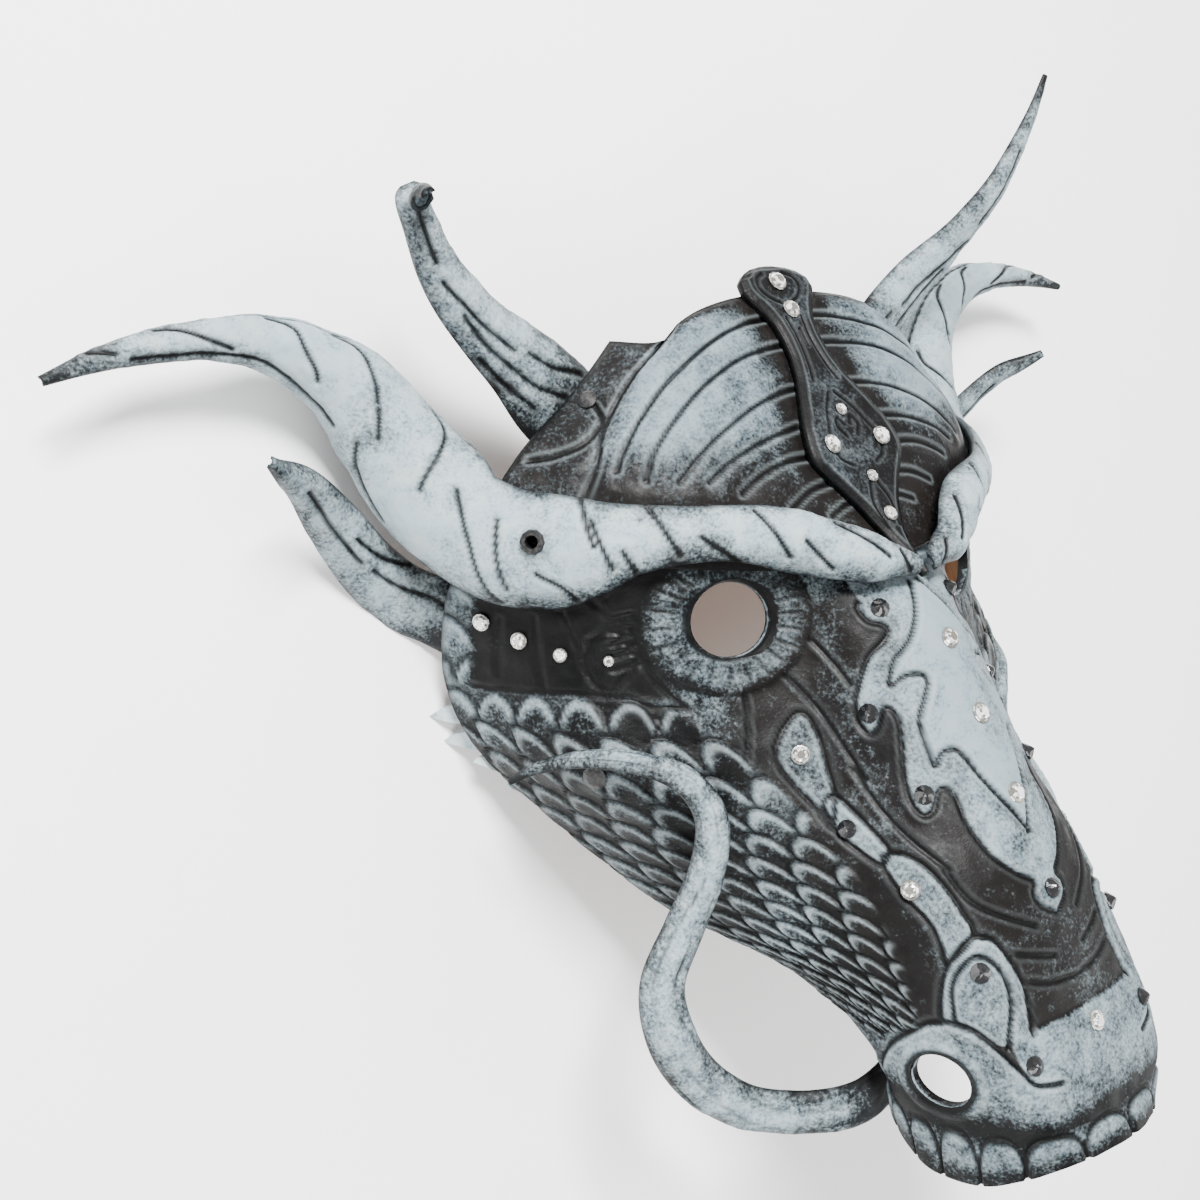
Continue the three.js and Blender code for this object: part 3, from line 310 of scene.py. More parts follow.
def slab_piece(name, outer, inner, oa, mat, node, edge_tone=0.6, inner_val=1.0, inner_ink=None):
    """Closed body between an outer and an inner grid of points of the same layout."""
    n, m = outer.shape[:2]; N = n * m; idx = np.arange(N).reshape(n, m)
    q = np.stack([idx[:-1, :-1], idx[1:, :-1], idx[1:, 1:], idx[:-1, 1:]], -1).reshape(-1, 4)
    qi = q[:, ::-1] + N
    loop = np.concatenate([idx[0, :], idx[1:, -1], idx[-1, -2::-1], idx[-2:0:-1, 0]]); nxt = np.roll(loop, -1)
    rim = np.stack([loop, nxt, nxt + N, loop + N], 1)
    P = np.concatenate([outer.reshape(-1, 3), inner.reshape(-1, 3)]); F = np.concatenate([q, qi, rim])
    a, b, c = P[q[:, 0]], P[q[:, 1]], P[q[:, 3]]; nrm = np.cross(b - a, c - a).sum(0); out = (outer - inner).reshape(-1, 3)
    if (np.cross(b - a, c - a) * out[q[:, 0]]).sum() < 0: F = F[:, ::-1]
    attrs = {k: np.concatenate([np.broadcast_to(v, (n, m)).ravel(), np.zeros(N) if k != 'tone' else np.full(N, 0.5)]) for k, v in oa.items()}
    ring = np.zeros((n, m), bool); ring[[0, -1]] = True; ring[:, [0, -1]] = True; ring = ring.ravel()
    attrs['inner'] = np.concatenate([np.zeros(N), np.where(ring, 0, inner_val)]); attrs['ink_and_shade'][N:] = np.where(ring, 0.9, 0)
    return mesh_piece(name, P, F, attrs, mat, node)


def tree_of(pts):
    t = kdtree.KDTree(len(pts))
    for i, p in enumerate(pts): t.insert(p, i)
    t.balance(); return t


def near(P, pts):
    """Distance in millimetres from each point to the closest of a cloud of line points."""
    t = tree_of(pts); sh = P.shape[:-1]
    return np.array([t.find(p)[2] for p in P.reshape(-1, 3).tolist()]).reshape(sh)


def on_sheet(line, h=0.0, step=0.35):
    line = np.array(line, float)
    if len(line) > 2: u = np.linspace(0, len(line) - 1, 12 * len(line)); sv = curve(line, u)
    else: sv = line
    P = sheet(sv[:, 0], sv[:, 1]); d = np.concatenate([[0], np.cumsum(np.linalg.norm(np.diff(P, axis=0), axis=1))])
    u = np.arange(0, d[-1], step); sv = np.stack([np.interp(u, d, sv[:, 0]), np.interp(u, d, sv[:, 1])], 1)
    return sheet(sv[:, 0], sv[:, 1]) + (sheet_normal(sv[:, 0], sv[:, 1]) * h if h else 0)


def mirror(line): return [[s, -v] for s, v in line]


def inside(s, v, poly):
    poly = np.array(poly, float); r = np.zeros(s.shape, bool); j = len(poly) - 1
    for i in range(len(poly)):
        a, b = poly[i], poly[j]
        c = ((a[1] > v) != (b[1] > v)) & (s < (b[0] - a[0]) * (v - a[1]) / (b[1] - a[1] + 1e-12) + a[0]); r ^= c; j = i
    return r


def grain(P, size, seed):
    """Smooth random field over space, about -1 to 1."""
    r = np.random.default_rng(seed); out = np.zeros(P.shape[:-1])
    for k in range(10):
        d = unit(r.normal(size=3)) * (2 * math.pi / size) * r.uniform(0.6, 1.5); out += np.sin(P @ d + r.uniform(0, 6.28))
    return out / 3.2


# ---------------------------------------------------------------- materials
def nodes_of(name):
    m = bpy.data.materials.new(name); m.use_nodes = True; nt = m.node_tree; nt.nodes.clear(); return m, nt


class N:
    def __init__(self, nt): self.nt = nt
    def add(self, kind, **kw):
        n = self.nt.nodes.new(kind)
        for k, v in kw.items(): setattr(n, k, v)
        return n
    def link(self, a, b): self.nt.links.new(a, b)
    def put(self, sock, v):
        if hasattr(v, 'is_output') or isinstance(v, bpy.types.NodeSocket): self.link(v, sock)
        else: sock.default_value = v
    def math(self, op, a, b=0.0, c=0.0, clamp=False):
        n = self.add('ShaderNodeMath', operation=op, use_clamp=clamp); self.put(n.inputs[0], a); self.put(n.inputs[1], b); self.put(n.inputs[2], c); return n.outputs[0]
    def mix(self, f, a, b, blend='MIX'):
        n = self.add('ShaderNodeMix', data_type='RGBA', blend_type=blend); self.put(n.inputs[0], f); self.put(n.inputs[6], a); self.put(n.inputs[7], b); return n.outputs[2]
    def noise(self, co, scale, detail=3, rough=0.55, dist=0.0):
        n = self.add('ShaderNodeTexNoise'); self.link(co, n.inputs['Vector']); n.inputs['Scale'].default_value = scale; n.inputs['Detail'].default_value = detail; n.inputs['Roughness'].default_value = rough; n.inputs['Distortion'].default_value = dist; return n.outputs[0]
    def ramp(self, v, a, b, lo=0.0, hi=1.0):
        n = self.add('ShaderNodeMapRange', interpolation_type='SMOOTHSTEP'); self.link(v, n.inputs['Value'])
        for k, x in zip(('From Min', 'From Max', 'To Min', 'To Max'), (a, b, lo, hi)): self.put(n.inputs[k], x)
        return n.outputs[0]
    def attr(self, k): n = self.add('ShaderNodeAttribute', attribute_name=k); return n.outputs['Fac']


def leather(name, dark, pale, base_tone=None, warm=0.0, rough=0.46):
    """Painted leather: dark dye under a speckled dry-brushed pale coat, black for inked tool lines and for painted
    shadows between the scale rows, natural tan inside; tone and warm also carry painted highlight and painted shade on
    some pieces.
    """
    m, nt = nodes_of(name); g = N(nt); co = g.add('ShaderNodeTexCoord').outputs['Object']
    n1, n2, n3 = g.noise(co, 1150, 3, 0.62), g.noise(co, 210, 4, 0.6, 0.4), g.noise(co, 42, 3, 0.5)
    tone = g.attr('tone') if base_tone is None else base_tone
    f = g.math('MULTIPLY_ADD', n1, 1.25, g.math('MULTIPLY_ADD', n2, 0.95, g.math('MULTIPLY_ADD', n3, 0.7, -1.45)))
    f = g.math('ADD', f, g.math('MULTIPLY_ADD', tone, 1.25, -0.125)) if base_tone is None else g.math('ADD', f, tone * 1.25 - 0.125)
    f = g.ramp(f, 0.08, 1.02)
    mid = [0.5 * (a + b) for a, b in zip(dark[:3], pale[:3])] + [1]
    tint = g.mix(g.ramp(n2, 0.35, 0.7), (pale[0] * 0.84, pale[1] * 0.93, pale[2] * 0.99, 1), pale)
    col = g.mix(f, dark, tint)
    if base_tone is None:
        col = g.mix(g.math('MULTIPLY', g.attr('warm'), g.ramp(n3, 0.3, 0.7, 0.35, 0.9)), col, (0.0095, 0.0072, 0.006, 1), 'MIX')
        col = g.mix(g.math('MULTIPLY', g.attr('pale'), 0.5), col, (0.26, 0.30, 0.31, 1))
        col = g.mix(g.math('MULTIPLY', g.attr('ink_and_shade'), g.ramp(n1, 0.25, 0.6, 0.84, 1.0)), col, (0.0009, 0.0009, 0.001, 1))
        tan = g.mix(g.ramp(n2, 0.3, 0.75), (0.13, 0.058, 0.024, 1), (0.23, 0.115, 0.05, 1))
        col = g.mix(g.attr('inner'), col, tan)
    bs = g.add('ShaderNodeBsdfPrincipled'); g.link(col, bs.inputs['Base Color'])
    g.link(g.ramp(n2, 0.25, 0.75, rough - 0.1, rough + 0.14), bs.inputs['Roughness']); bs.inputs['Specular IOR Level'].default_value = 0.11
    bump = g.add('ShaderNodeBump'); bump.inputs['Strength'].default_value = 0.32; bump.inputs['Distance'].default_value = 0.0004
    g.link(g.math('MULTIPLY_ADD', g.noise(co, 700, 4, 0.6), 0.7, g.math('MULTIPLY', n1, 0.5)), bump.inputs['Height']); g.link(bump.outputs[0], bs.inputs['Normal'])
    out = g.add('ShaderNodeOutputMaterial'); g.link(bs.outputs[0], out.inputs[0]); return m


def hard(name, a, b, rough=(0.08, 0.2), metal=0.0, trans=0.0, scale=900, bump=0.1):
    m, nt = nodes_of(name); g = N(nt); co = g.add('ShaderNodeTexCoord').outputs['Object']; n1 = g.noise(co, scale, 4, 0.6)
    bs = g.add('ShaderNodeBsdfPrincipled'); g.link(g.mix(g.ramp(n1, 0.35, 0.7), a, b), bs.inputs['Base Color']); g.link(g.ramp(n1, 0.3, 0.75, rough[0], rough[1]), bs.inputs['Roughness'])
    bs.inputs['Metallic'].default_value = metal; bs.inputs['Transmission Weight'].default_value = trans; bs.inputs['IOR'].default_value = 1.6
    bm = g.add('ShaderNodeBump'); bm.inputs['Strength'].default_value = bump; bm.inputs['Distance'].default_value = 0.0002; g.link(n1, bm.inputs['Height']); g.link(bm.outputs[0], bs.inputs['Normal'])
    out = g.add('ShaderNodeOutputMaterial'); g.link(bs.outputs[0], out.inputs[0]); return m


DARK = (0.0018, 0.0019, 0.0021, 1)
M_FACE = leather('face leather', DARK, (0.185, 0.225, 0.24, 1))
M_CROWN = leather('crown leather', (0.002, 0.002, 0.0022, 1), (0.145, 0.18, 0.195, 1))
M_STRAP = leather('strap leather', (0.0025, 0.0026, 0.0028, 1), (0.07, 0.084, 0.092, 1))
M_HORN = leather('horn leather', (0.008, 0.009, 0.010, 1), (0.27, 0.32, 0.335, 1))
M_SPIKE = leather('spike leather', (0.03, 0.033, 0.036, 1), (0.38, 0.43, 0.44, 1), 0.8)

def crystal():
    m, nt = nodes_of('clear stone'); g = N(nt); co = g.add('ShaderNodeTexCoord').outputs['Object']; n1 = g.noise(co, 700, 3)
    # painted reflections: a random value per facet turns each facet's base colour from dark brown-grey to white,
    # standing in for the glints and dark reflections of the cut stone
    f = g.ramp(g.math('MULTIPLY_ADD', n1, 0.3, g.attr('facet_glint')), 0.3, 1.0); bs = g.add('ShaderNodeBsdfPrincipled'); g.link(g.mix(f, (0.16, 0.15, 0.13, 1), (0.95, 0.96, 0.95, 1)), bs.inputs['Base Color'])
    g.link(g.ramp(n1, 0.3, 0.7, 0.02, 0.06), bs.inputs['Roughness']); bs.inputs['Metallic'].default_value = 0.35; bs.inputs['Transmission Weight'].default_value = 0.15; bs.inputs['IOR'].default_value = 1.7
    g.link(bs.outputs[0], g.add('ShaderNodeOutputMaterial').inputs[0]); return m


M_CLEAR = crystal()
M_SILVER = hard('stone cup', (0.45, 0.44, 0.40, 1), (0.28, 0.27, 0.25, 1), (0.18, 0.3), 0.9, 0, 900, 0.1)
M_BLACK = hard('black stone', (0.003, 0.003, 0.0035, 1), (0.008, 0.008, 0.009, 1), (0.10, 0.24), 0, 0, 700, 0.05)
M_METAL = hard('dark metal', (0.012, 0.012, 0.013, 1), (0.035, 0.033, 0.032, 1), (0.35, 0.55), 0.6, 0, 1200, 0.2)

# ---------------------------------------------------------------- face
FL = {k: v for k, v in LINES['face'].items()}


def scales(s, v):
    """Overlapping arches over the cheeks and the sides of the snout: share of radius within each point's scale, and how
    near the point lies to the arcs of the rows in front, used for their painted shadow.
    """
    ss = np.linspace(3.75, 12, 400); step = np.interp(ss, [5.5, 6.5, 8, 9.2, 10.2, 11], [12, 13, 11.5, 8.6, 5.6, 4.6])
    P = sheet(ss, np.full(400, 0.7)); d = np.concatenate([[0], np.linalg.norm(np.diff(P, axis=0), axis=1)])
    row = np.interp(s, ss, np.cumsum(d / step)); vv = np.linspace(0, 1, 60)
    G = sheet(ss[::8][:, None], vv[None]); arc = np.concatenate([np.zeros((50, 1)), np.cumsum(np.linalg.norm(np.diff(G, axis=1), axis=2), 1)], 1)
    fi = np.clip(np.interp(s, ss[::8], np.arange(50)), 0, 48.999); i = fi.astype(int); f = fi - i; vi = np.clip(np.abs(v) * 59, 0, 58.999); j = vi.astype(int); h = vi - j
    A = (arc[i, j] * (1 - f) + arc[i + 1, j] * f) * (1 - h) + (arc[i, j + 1] * (1 - f) + arc[i + 1, j + 1] * f) * h
    x = A / np.interp(s, ss, step); H = 0.76; best = np.full(s.shape, 9.0); front = np.full(s.shape, 9.0)
    base = np.floor(row / H)
    for k in (2, 1, 0, -1, -2):
        r = base + k; off = 0.5 * np.mod(r, 2); dx = x - (np.round(x - off) + off); dd = np.hypot(dx / 0.53, (row - r * H) / 0.92)
        take = (best > 1) & (dd < 1); front = np.where(best > 1, np.where(take, front, np.minimum(front, dd)), front); best = np.where(take, dd, best)
    return np.minimum(best, 1), front


def face():
    nu, nv = 318, 300
    s1 = np.linspace(FACE_START, NS, nu + 1); v1 = np.linspace(-1, 1, nv + 1); s, v = np.meshgrid(s1, v1, indexing='ij'); av = np.abs(v)
    P, n = sheet(s, v), sheet_normal(s, v)
    lines = []
    for k, l in FL.items():
        if k in ('nose_top', 'lipteeth', 'cheekline'): continue
        for q in (l, mirror(l)): lines.append(on_sheet(q))
        if k in 'ABC' and len(k) == 1:   # inner outline: nothing is drawn here
            pass
    main = tree_of(np.concatenate(lines)); r = np.random.default_rng(3)
    for l in ([[5.3, 0.34], [5.8, 0.29], [6.2, 0.27]], [[5.7, 0.43], [6.3, 0.36], [6.9, 0.31]], [[6.8, 0.33], [7.4, 0.28], [7.9, 0.2]], [[7.9, 0.21], [8.3, 0.17], [8.75, 0.06]], [[8.55, 0.2], [8.9, 0.14], [9.15, 0.04]], [[9.05, 0.17], [9.35, 0.09], [9.45, 0.0]], [[5.9, 0.5], [6.4, 0.51], [6.8, 0.53]]):
        for z in (l, mirror(l)): lines.append(np.array([p for p in on_sheet(z) if main.find(p)[2] > 2.2]).reshape(-1, 3))
    for k in range(5):                # folds beside the eye towards the temple
        a = 4.95 + 0.16 * k; l = [[a, 0.655], [a + 0.05, 0.69], [a + 0.14, 0.73]]
        for z in (l, mirror(l)): lines.append(on_sheet(z))
    pts = np.concatenate(lines); d = near(P, pts)
    wob = grain(P, 9, 5)
    ink_and_shade = 1 - smooth(d, 0.42, 0.95 + 0.12 * wob); pale = (1 - smooth(np.abs(d - 1.35), 0.2, 0.75)) * 0.6
    h = -0.62 * np.exp(-(d / 0.75) ** 2) + 0.16 * np.exp(-((d - 1.5) / 0.7) ** 2)
    # tone of each region
    tone = np.full(s.shape, 0.30) + 0.04 * grain(P, 30, 8)
    warm = np.zeros(s.shape)
    side = (1 - smooth(av, 0.50, 0.58)) * smooth(s, 4.6, 4.8)
    hilite = 0.16 * np.exp(-((av - 0.30) / 0.05) ** 2) + 0.12 * smooth(s, 8.3, 8.8) * np.exp(-(av / 0.09) ** 2); tone = tone * (1 - side) + (0.09 + hilite) * side; warm = np.maximum(warm, 0.42 * side); around = smooth(av, 0.30, 0.36) * (1 - smooth(av, 0.93, 0.97)) * (1 - smooth(s, 5.7, 6.0)); tone = tone * (1 - 0.8 * around)
    tp = smooth(av, 0.60, 0.66) * (1 - smooth(av, 0.93, 0.97)) * (1 - smooth(s, 6.0, 6.12)); tone = tone * (1 - tp) + 0.02 * tp; pale = pale * (1 - 0.85 * tp); ink_and_shade = np.maximum(ink_and_shade, 0.8 * tp)
    def closed(l, tip): q = [list(p) for p in l]; return q + [[q[-1][0], 0.0], [q[0][0], 0.0]]
    pin, pout = FL['plate_in'], FL['plate_out']
    m_out = inside(s, -av, pout + [[pout[-1][0] + 0.05, 0.02], [3.6, 0.02], [3.6, pout[0][1]]]); m_in = inside(s, -av, pin + [[pin[-1][0] + 0.03, 0.02], [3.6, 0.02], [3.6, pin[0][1]]])
    tone = np.where(m_out, 0.64 - 0.12 * np.exp(-((d - 1) / 2) ** 2) + 0.08 * grain(P, 18, 14), tone); tone = np.where(m_in, 0.82 + 0.12 * grain(P, 22, 12), tone); warm = np.where(m_out, 0, warm); h = h + 0.35 * m_out * smooth(d, 0.4, 1.6) + 0.35 * m_in * smooth(d, 0.4, 1.6)
    for k in 'ABCD':
        q = FL[k] if k != 'D' else FL['D'] + [[9.86, -0.05], [9.9, -0.35]]
        mm = inside(s, -av, q); tone = np.where(mm, 0.54 if k != 'A' else 0.42, tone); warm = np.where(mm, 0.1, warm); h = h + 0.4 * mm * smooth(d, 0.4, 1.6)
    # scales
    line = np.array(FL['cheekline']); vc = np.interp(s, [5.9, 6.25, 6.63, 6.95, 7.4, 8.2, 9.0, 9.9, 10.35], [0.72, 0.60, 0.52, 0.485, 0.44, 0.40, 0.40, 0.46, 0.66])
    reg = (1 - np.any([inside(s, -av, FL[k]) for k in 'ABCD'], 0)) * smooth(av - vc, 0.0, 0.03) * smooth(s, 6.02, 6.12) * (1 - smooth(s, 10.3, 10.45)); rear = smooth(av, 0.94, 0.965) * (1 - smooth(s, 6.02, 6.12)) * smooth(s, 4.7, 4.85); reg = np.maximum(reg, rear)
    # scales: black arcs, plus a painted shadow (shade) cast by each scale row onto the row behind it, put into the ink
    # channel
    q, fr = scales(s, v); arc = smooth(q, 0.86, 0.96); shade = 1 - smooth(fr, 1.0, 1.3); ink_and_shade = np.maximum(ink_and_shade * (1 - 0.6 * reg), reg * np.maximum(arc, 0.85 * shade)); pale = np.maximum(pale * (1 - reg), reg * 0.75 * np.exp(-((q - 0.78) / 0.08) ** 2) * (1 - shade))
    tone = tone * (1 - reg) + reg * (0.15 + 0.26 * smooth(q, 0.35, 0.85) - 0.10 * smooth(s, 7, 10) + 0.14 * grain(P, 40, 6) + 0.2 * (1 - smooth(s, 6.2, 6.9)) * smooth(av, 0.93, 0.97)); h = h * (1 - 0.6 * reg) + reg * (0.75 * smooth(q, 0.0, 0.75) * (1 - smooth(q, 0.86, 1.0)) - 0.4 * smooth(q, 0.86, 1.0) - 0.3 * shade)
    # nose and teeth
    curl = np.array(FL['nose_curl']); top = np.array(FL['nose_top'])
    o = np.argsort(-curl[:, 1]); cs = np.interp(-av, curl[np.argsort(curl[:, 1])][:, 1], curl[np.argsort(curl[:, 1])][:, 0]); cs = np.where(av < 0.2, 9.78, cs)
    nose = smooth(s - cs, -0.02, 0.05); tone = tone * (1 - nose) + nose * (0.58 - 0.2 * smooth(s, 10.4, 11.3) + 0.08 * grain(P, 20, 15)); warm = warm * (1 - nose); h = h + 0.5 * nose
    teeth = [0.0, 0.13, 0.29, 0.43, 0.575, 0.74, 0.90, 1.02]; ti = np.clip(np.searchsorted(teeth, av, 'right') - 1, 0, 6); tt = np.array(teeth); vc2, hw = (tt[ti] + tt[ti + 1]) / 2, (tt[ti + 1] - tt[ti]) / 2
    u = (av - vc2) / hw; w = (12 - s) / np.interp(av, [0, 0.5, 1], [0.60, 0.66, 0.5]); e = np.abs(u * 0.97) ** 3.2 + np.clip(w, 0, 9) ** 2.4
    el = np.abs(e - 0.86); tl = 1 - smooth(el, 0.10, 0.30); ink_and_shade = np.maximum(ink_and_shade, tl * (s > 11)); tone = np.where((e < 0.86), 0.60 - 0.4 * smooth(s, 11.6, 12), tone); h = h + 0.7 * (1 - smooth(e, 0.5, 0.95)) - 0.4 * tl * (s > 11)
    gum = smooth(s, 10.95, 11.15) * (1 - smooth(e, 0.9, 1.3)) * 0; tone = tone - 0.3 * np.exp(-((s - 11.3) / 0.16) ** 2) * (s > 10.9) * (e > 0.86)
    ink_and_shade = np.maximum(ink_and_shade, 0.3 * np.exp(-((s - 11.2) / 0.035) ** 2))
    # eye ring and nostril rim
    for g in (-1, 1):
        for at, size, kind in ((EYE, EYE_HOLE, 0), (NOSTRIL_AT, NOSTRIL, 1)):
            C = sheet(at[0], g * at[1]); nn = sheet_normal(at[0], g * at[1]); ax = sheet(at[0], g * (at[1] + 0.02)) - sheet(at[0], g * (at[1] - 0.02)); ax = unit(ax - nn * (ax @ nn)); ay = np.cross(nn, ax)
            dx, dy = (P - C) @ ax, (P - C) @ ay; re = np.hypot(dx / (size[0] / 2), dy / (size[1] / 2)); far = (np.linalg.norm(P - C, axis=-1) > 34); re = np.where(far, 9, re)
            if kind == 0:
                an = np.arctan2(dy / size[1], dx / size[0]); ro = 2.06 + 0.14 * np.cos(an); rr = re / ro * 2.06
                ring = 1 - smooth(rr, 1.98, 2.08); keep = 1 - ring
                ph = np.abs(np.mod(an / (2 * math.pi) * 22, 1) - 0.5) * 2; wmm = ph * re * 30 / 22 * 1.15
                sp = (1 - smooth(wmm, 0.35, 0.85)) * smooth(rr, 1.2, 1.28) * (1 - smooth(rr, 1.8, 1.88)) * (0.75 + 0.25 * np.sin(rr * 46))
                ink_and_shade = ink_and_shade * keep + ring * np.clip(sp + (1 - smooth(np.abs(rr - 2.03), 0.03, 0.09)) + (1 - smooth(rr, 1.07, 1.16)), 0, 1)
                pale = pale * keep + ring * 0.3 * np.exp(-((wmm - 1.15) / 0.3) ** 2) * smooth(rr, 1.2, 1.3) * (1 - smooth(rr, 1.78, 1.88))
                tone = tone * keep + (0.38 - 0.3 * smooth(rr, 1.6, 2.0)) * ring; h = h * keep + ring * (0.55 * smooth(2.06 - rr, 0, 0.22) * smooth(rr, 1.0, 1.3) - 0.45 * sp + 0.1)
            else:
                ring = 1 - smooth(re, 1.45, 1.6); ink_and_shade = ink_and_shade * (1 - ring) + ring * (1 - smooth(re, 1.16, 1.3)); h = h + 0.5 * ring * smooth(re, 1.0, 1.2); pale = pale * (1 - ring) + 0.4 * ring * smooth(re, 1.28, 1.4)
    edge = np.linalg.norm(P - sheet(s, np.sign(v) * 1.0 + (v == 0)), axis=-1) ; rim = np.exp(-(edge / 1.3) ** 2); ink_and_shade = np.maximum(ink_and_shade, 0.8 * rim * (s < 10.6))
    sink = -0.7 * np.clip((4.6 - s) / 0.6, 0, 1); h = np.clip(h, -0.9, 1.15) * smooth(s, 4.35, 4.7)
    h = h * (1 - 0.75 * np.clip(np.exp(-((edge / 2.0) ** 2)), 0, 1)) + 0.12 * wob * smooth(s, 4.4, 4.8)
    pale = pale * (0.12 + 0.88 * np.maximum(smooth(tone, 0.22, 0.5), reg))
    outer = P + n * (sink + h)[..., None]; inn = P + n * (sink - LEATHER)[..., None]
    # coarse lining stitched to the fine rim
    k = 6; nu_i, nv_i = nu // k, nv // k; N0 = (nu + 1) * (nv + 1); idx = np.arange(N0).reshape(nu + 1, nv + 1)
    q = np.stack([idx[:-1, :-1], idx[1:, :-1], idx[1:, 1:], idx[:-1, 1:]], -1).reshape(-1, 4)
    need = np.zeros((nu + 1, nv + 1), bool); need[::k, ::k] = True; need[0] = need[-1] = True; need[:, 0] = need[:, -1] = True
    im = np.full((nu + 1, nv + 1), -1); im[need] = N0 + np.arange(need.sum()); loop = np.concatenate([idx[0, :], idx[1:, -1], idx[-1, -2::-1], idx[-2:0:-1, 0]]); lf = im.ravel()
    nx = np.roll(loop, -1); rimq = np.stack([loop, nx, lf[nx], lf[loop]], 1); quads, ng = [], []
    for i in range(nu_i):
        for j in range(nv_i):
            a, b, c, e2 = i * k, (i + 1) * k, j * k, (j + 1) * k
            if 0 < i < nu_i - 1 and 0 < j < nv_i - 1: quads.append([im[a, c], im[a, e2], im[b, e2], im[b, c]]); continue
            g = [im[a, c]] + ([im[a, t] for t in range(c + 1, e2)] if i == 0 else []) + [im[a, e2]] + ([im[t, e2] for t in range(a + 1, b)] if j == nv_i - 1 else []) + [im[b, e2]] + ([im[b, t] for t in range(e2 - 1, c, -1)] if i == nu_i - 1 else []) + [im[b, c]] + ([im[t, c] for t in range(b - 1, a, -1)] if j == 0 else [])
            (ng if len(g) > 4 else quads).append(g)
    A = np.concatenate([q, np.array(quads), rimq]); PP = np.concatenate([outer.reshape(-1, 3), inn[need]]); K = need.sum()
    t = PP[q]; sgn = (np.cross(t[:, 1] - t[:, 0], t[:, 3] - t[:, 0]) * n.reshape(-1, 3)[q[:, 0]]).sum()
    if sgn < 0: A = A[:, ::-1]; ng = [g[::-1] for g in ng]
    z = lambda a, f=0.0: np.concatenate([np.clip(a, 0, 1).ravel(), np.full(K, f)])
    ob = mesh_piece('face_visual', PP, A, dict(ink_and_shade=z(ink_and_shade), pale=z(pale), tone=z(tone, 0.5), warm=z(warm), inner=np.concatenate([np.zeros(N0), np.ones(K)])), M_FACE, 'face', ng)
    # openings
    for g in (-1, 1):
        for at, size in ((EYE, EYE_HOLE), (NOSTRIL_AT, NOSTRIL)):
            C = sheet(at[0], g * at[1]); nn = sheet_normal(at[0], g * at[1]); ax = sheet(at[0], g * (at[1] + 0.02)) - sheet(at[0], g * (at[1] - 0.02)); ax = unit(ax - nn * (ax @ nn)); ay = np.cross(nn, ax)
            an = np.linspace(0, 2 * math.pi, 97)[:-1]; hs = [-6, -0.8, -0.1, 0.5, 3]; sc = [1.0, 1.0, 1.015, 1.06, 1.3]
            R = [C + nn * hh + (np.cos(an)[:, None] * ax * size[0] / 2 + np.sin(an)[:, None] * ay * size[1] / 2) * f for hh, f in zip(hs, sc)]
            PPc = np.concatenate(R) ; nA = 96; fs = [[i * nA + j, i * nA + (j + 1) % nA, (i + 1) * nA + (j + 1) % nA, (i + 1) * nA + j] for i in range(4) for j in range(nA)] + [list(range(nA))[::-1], [4 * nA + j for j in range(nA)]]
            me = bpy.data.meshes.new('cut'); me.from_pydata((lying(PPc) / 1000).tolist(), [], fs); me.update(); co = bpy.data.objects.new('cut', me); bpy.context.scene.collection.objects.link(co)
            bm = bmesh.new(); bm.from_mesh(me); bmesh.ops.recalc_face_normals(bm, faces=bm.faces); bm.to_mesh(me); bm.free()
            mo = ob.modifiers.new('hole', 'BOOLEAN'); mo.operation = 'DIFFERENCE'; mo.object = co; mo.solver = 'EXACT'
            bpy.context.view_layer.objects.active = ob; ob.select_set(True); bpy.ops.object.modifier_apply(modifier=mo.name); bpy.data.objects.remove(co)
    return ob


# ---------------------------------------------------------------- crown
def strap_half(s): return np.interp(s, [a for a, b in STRAP], [b for a, b in STRAP])


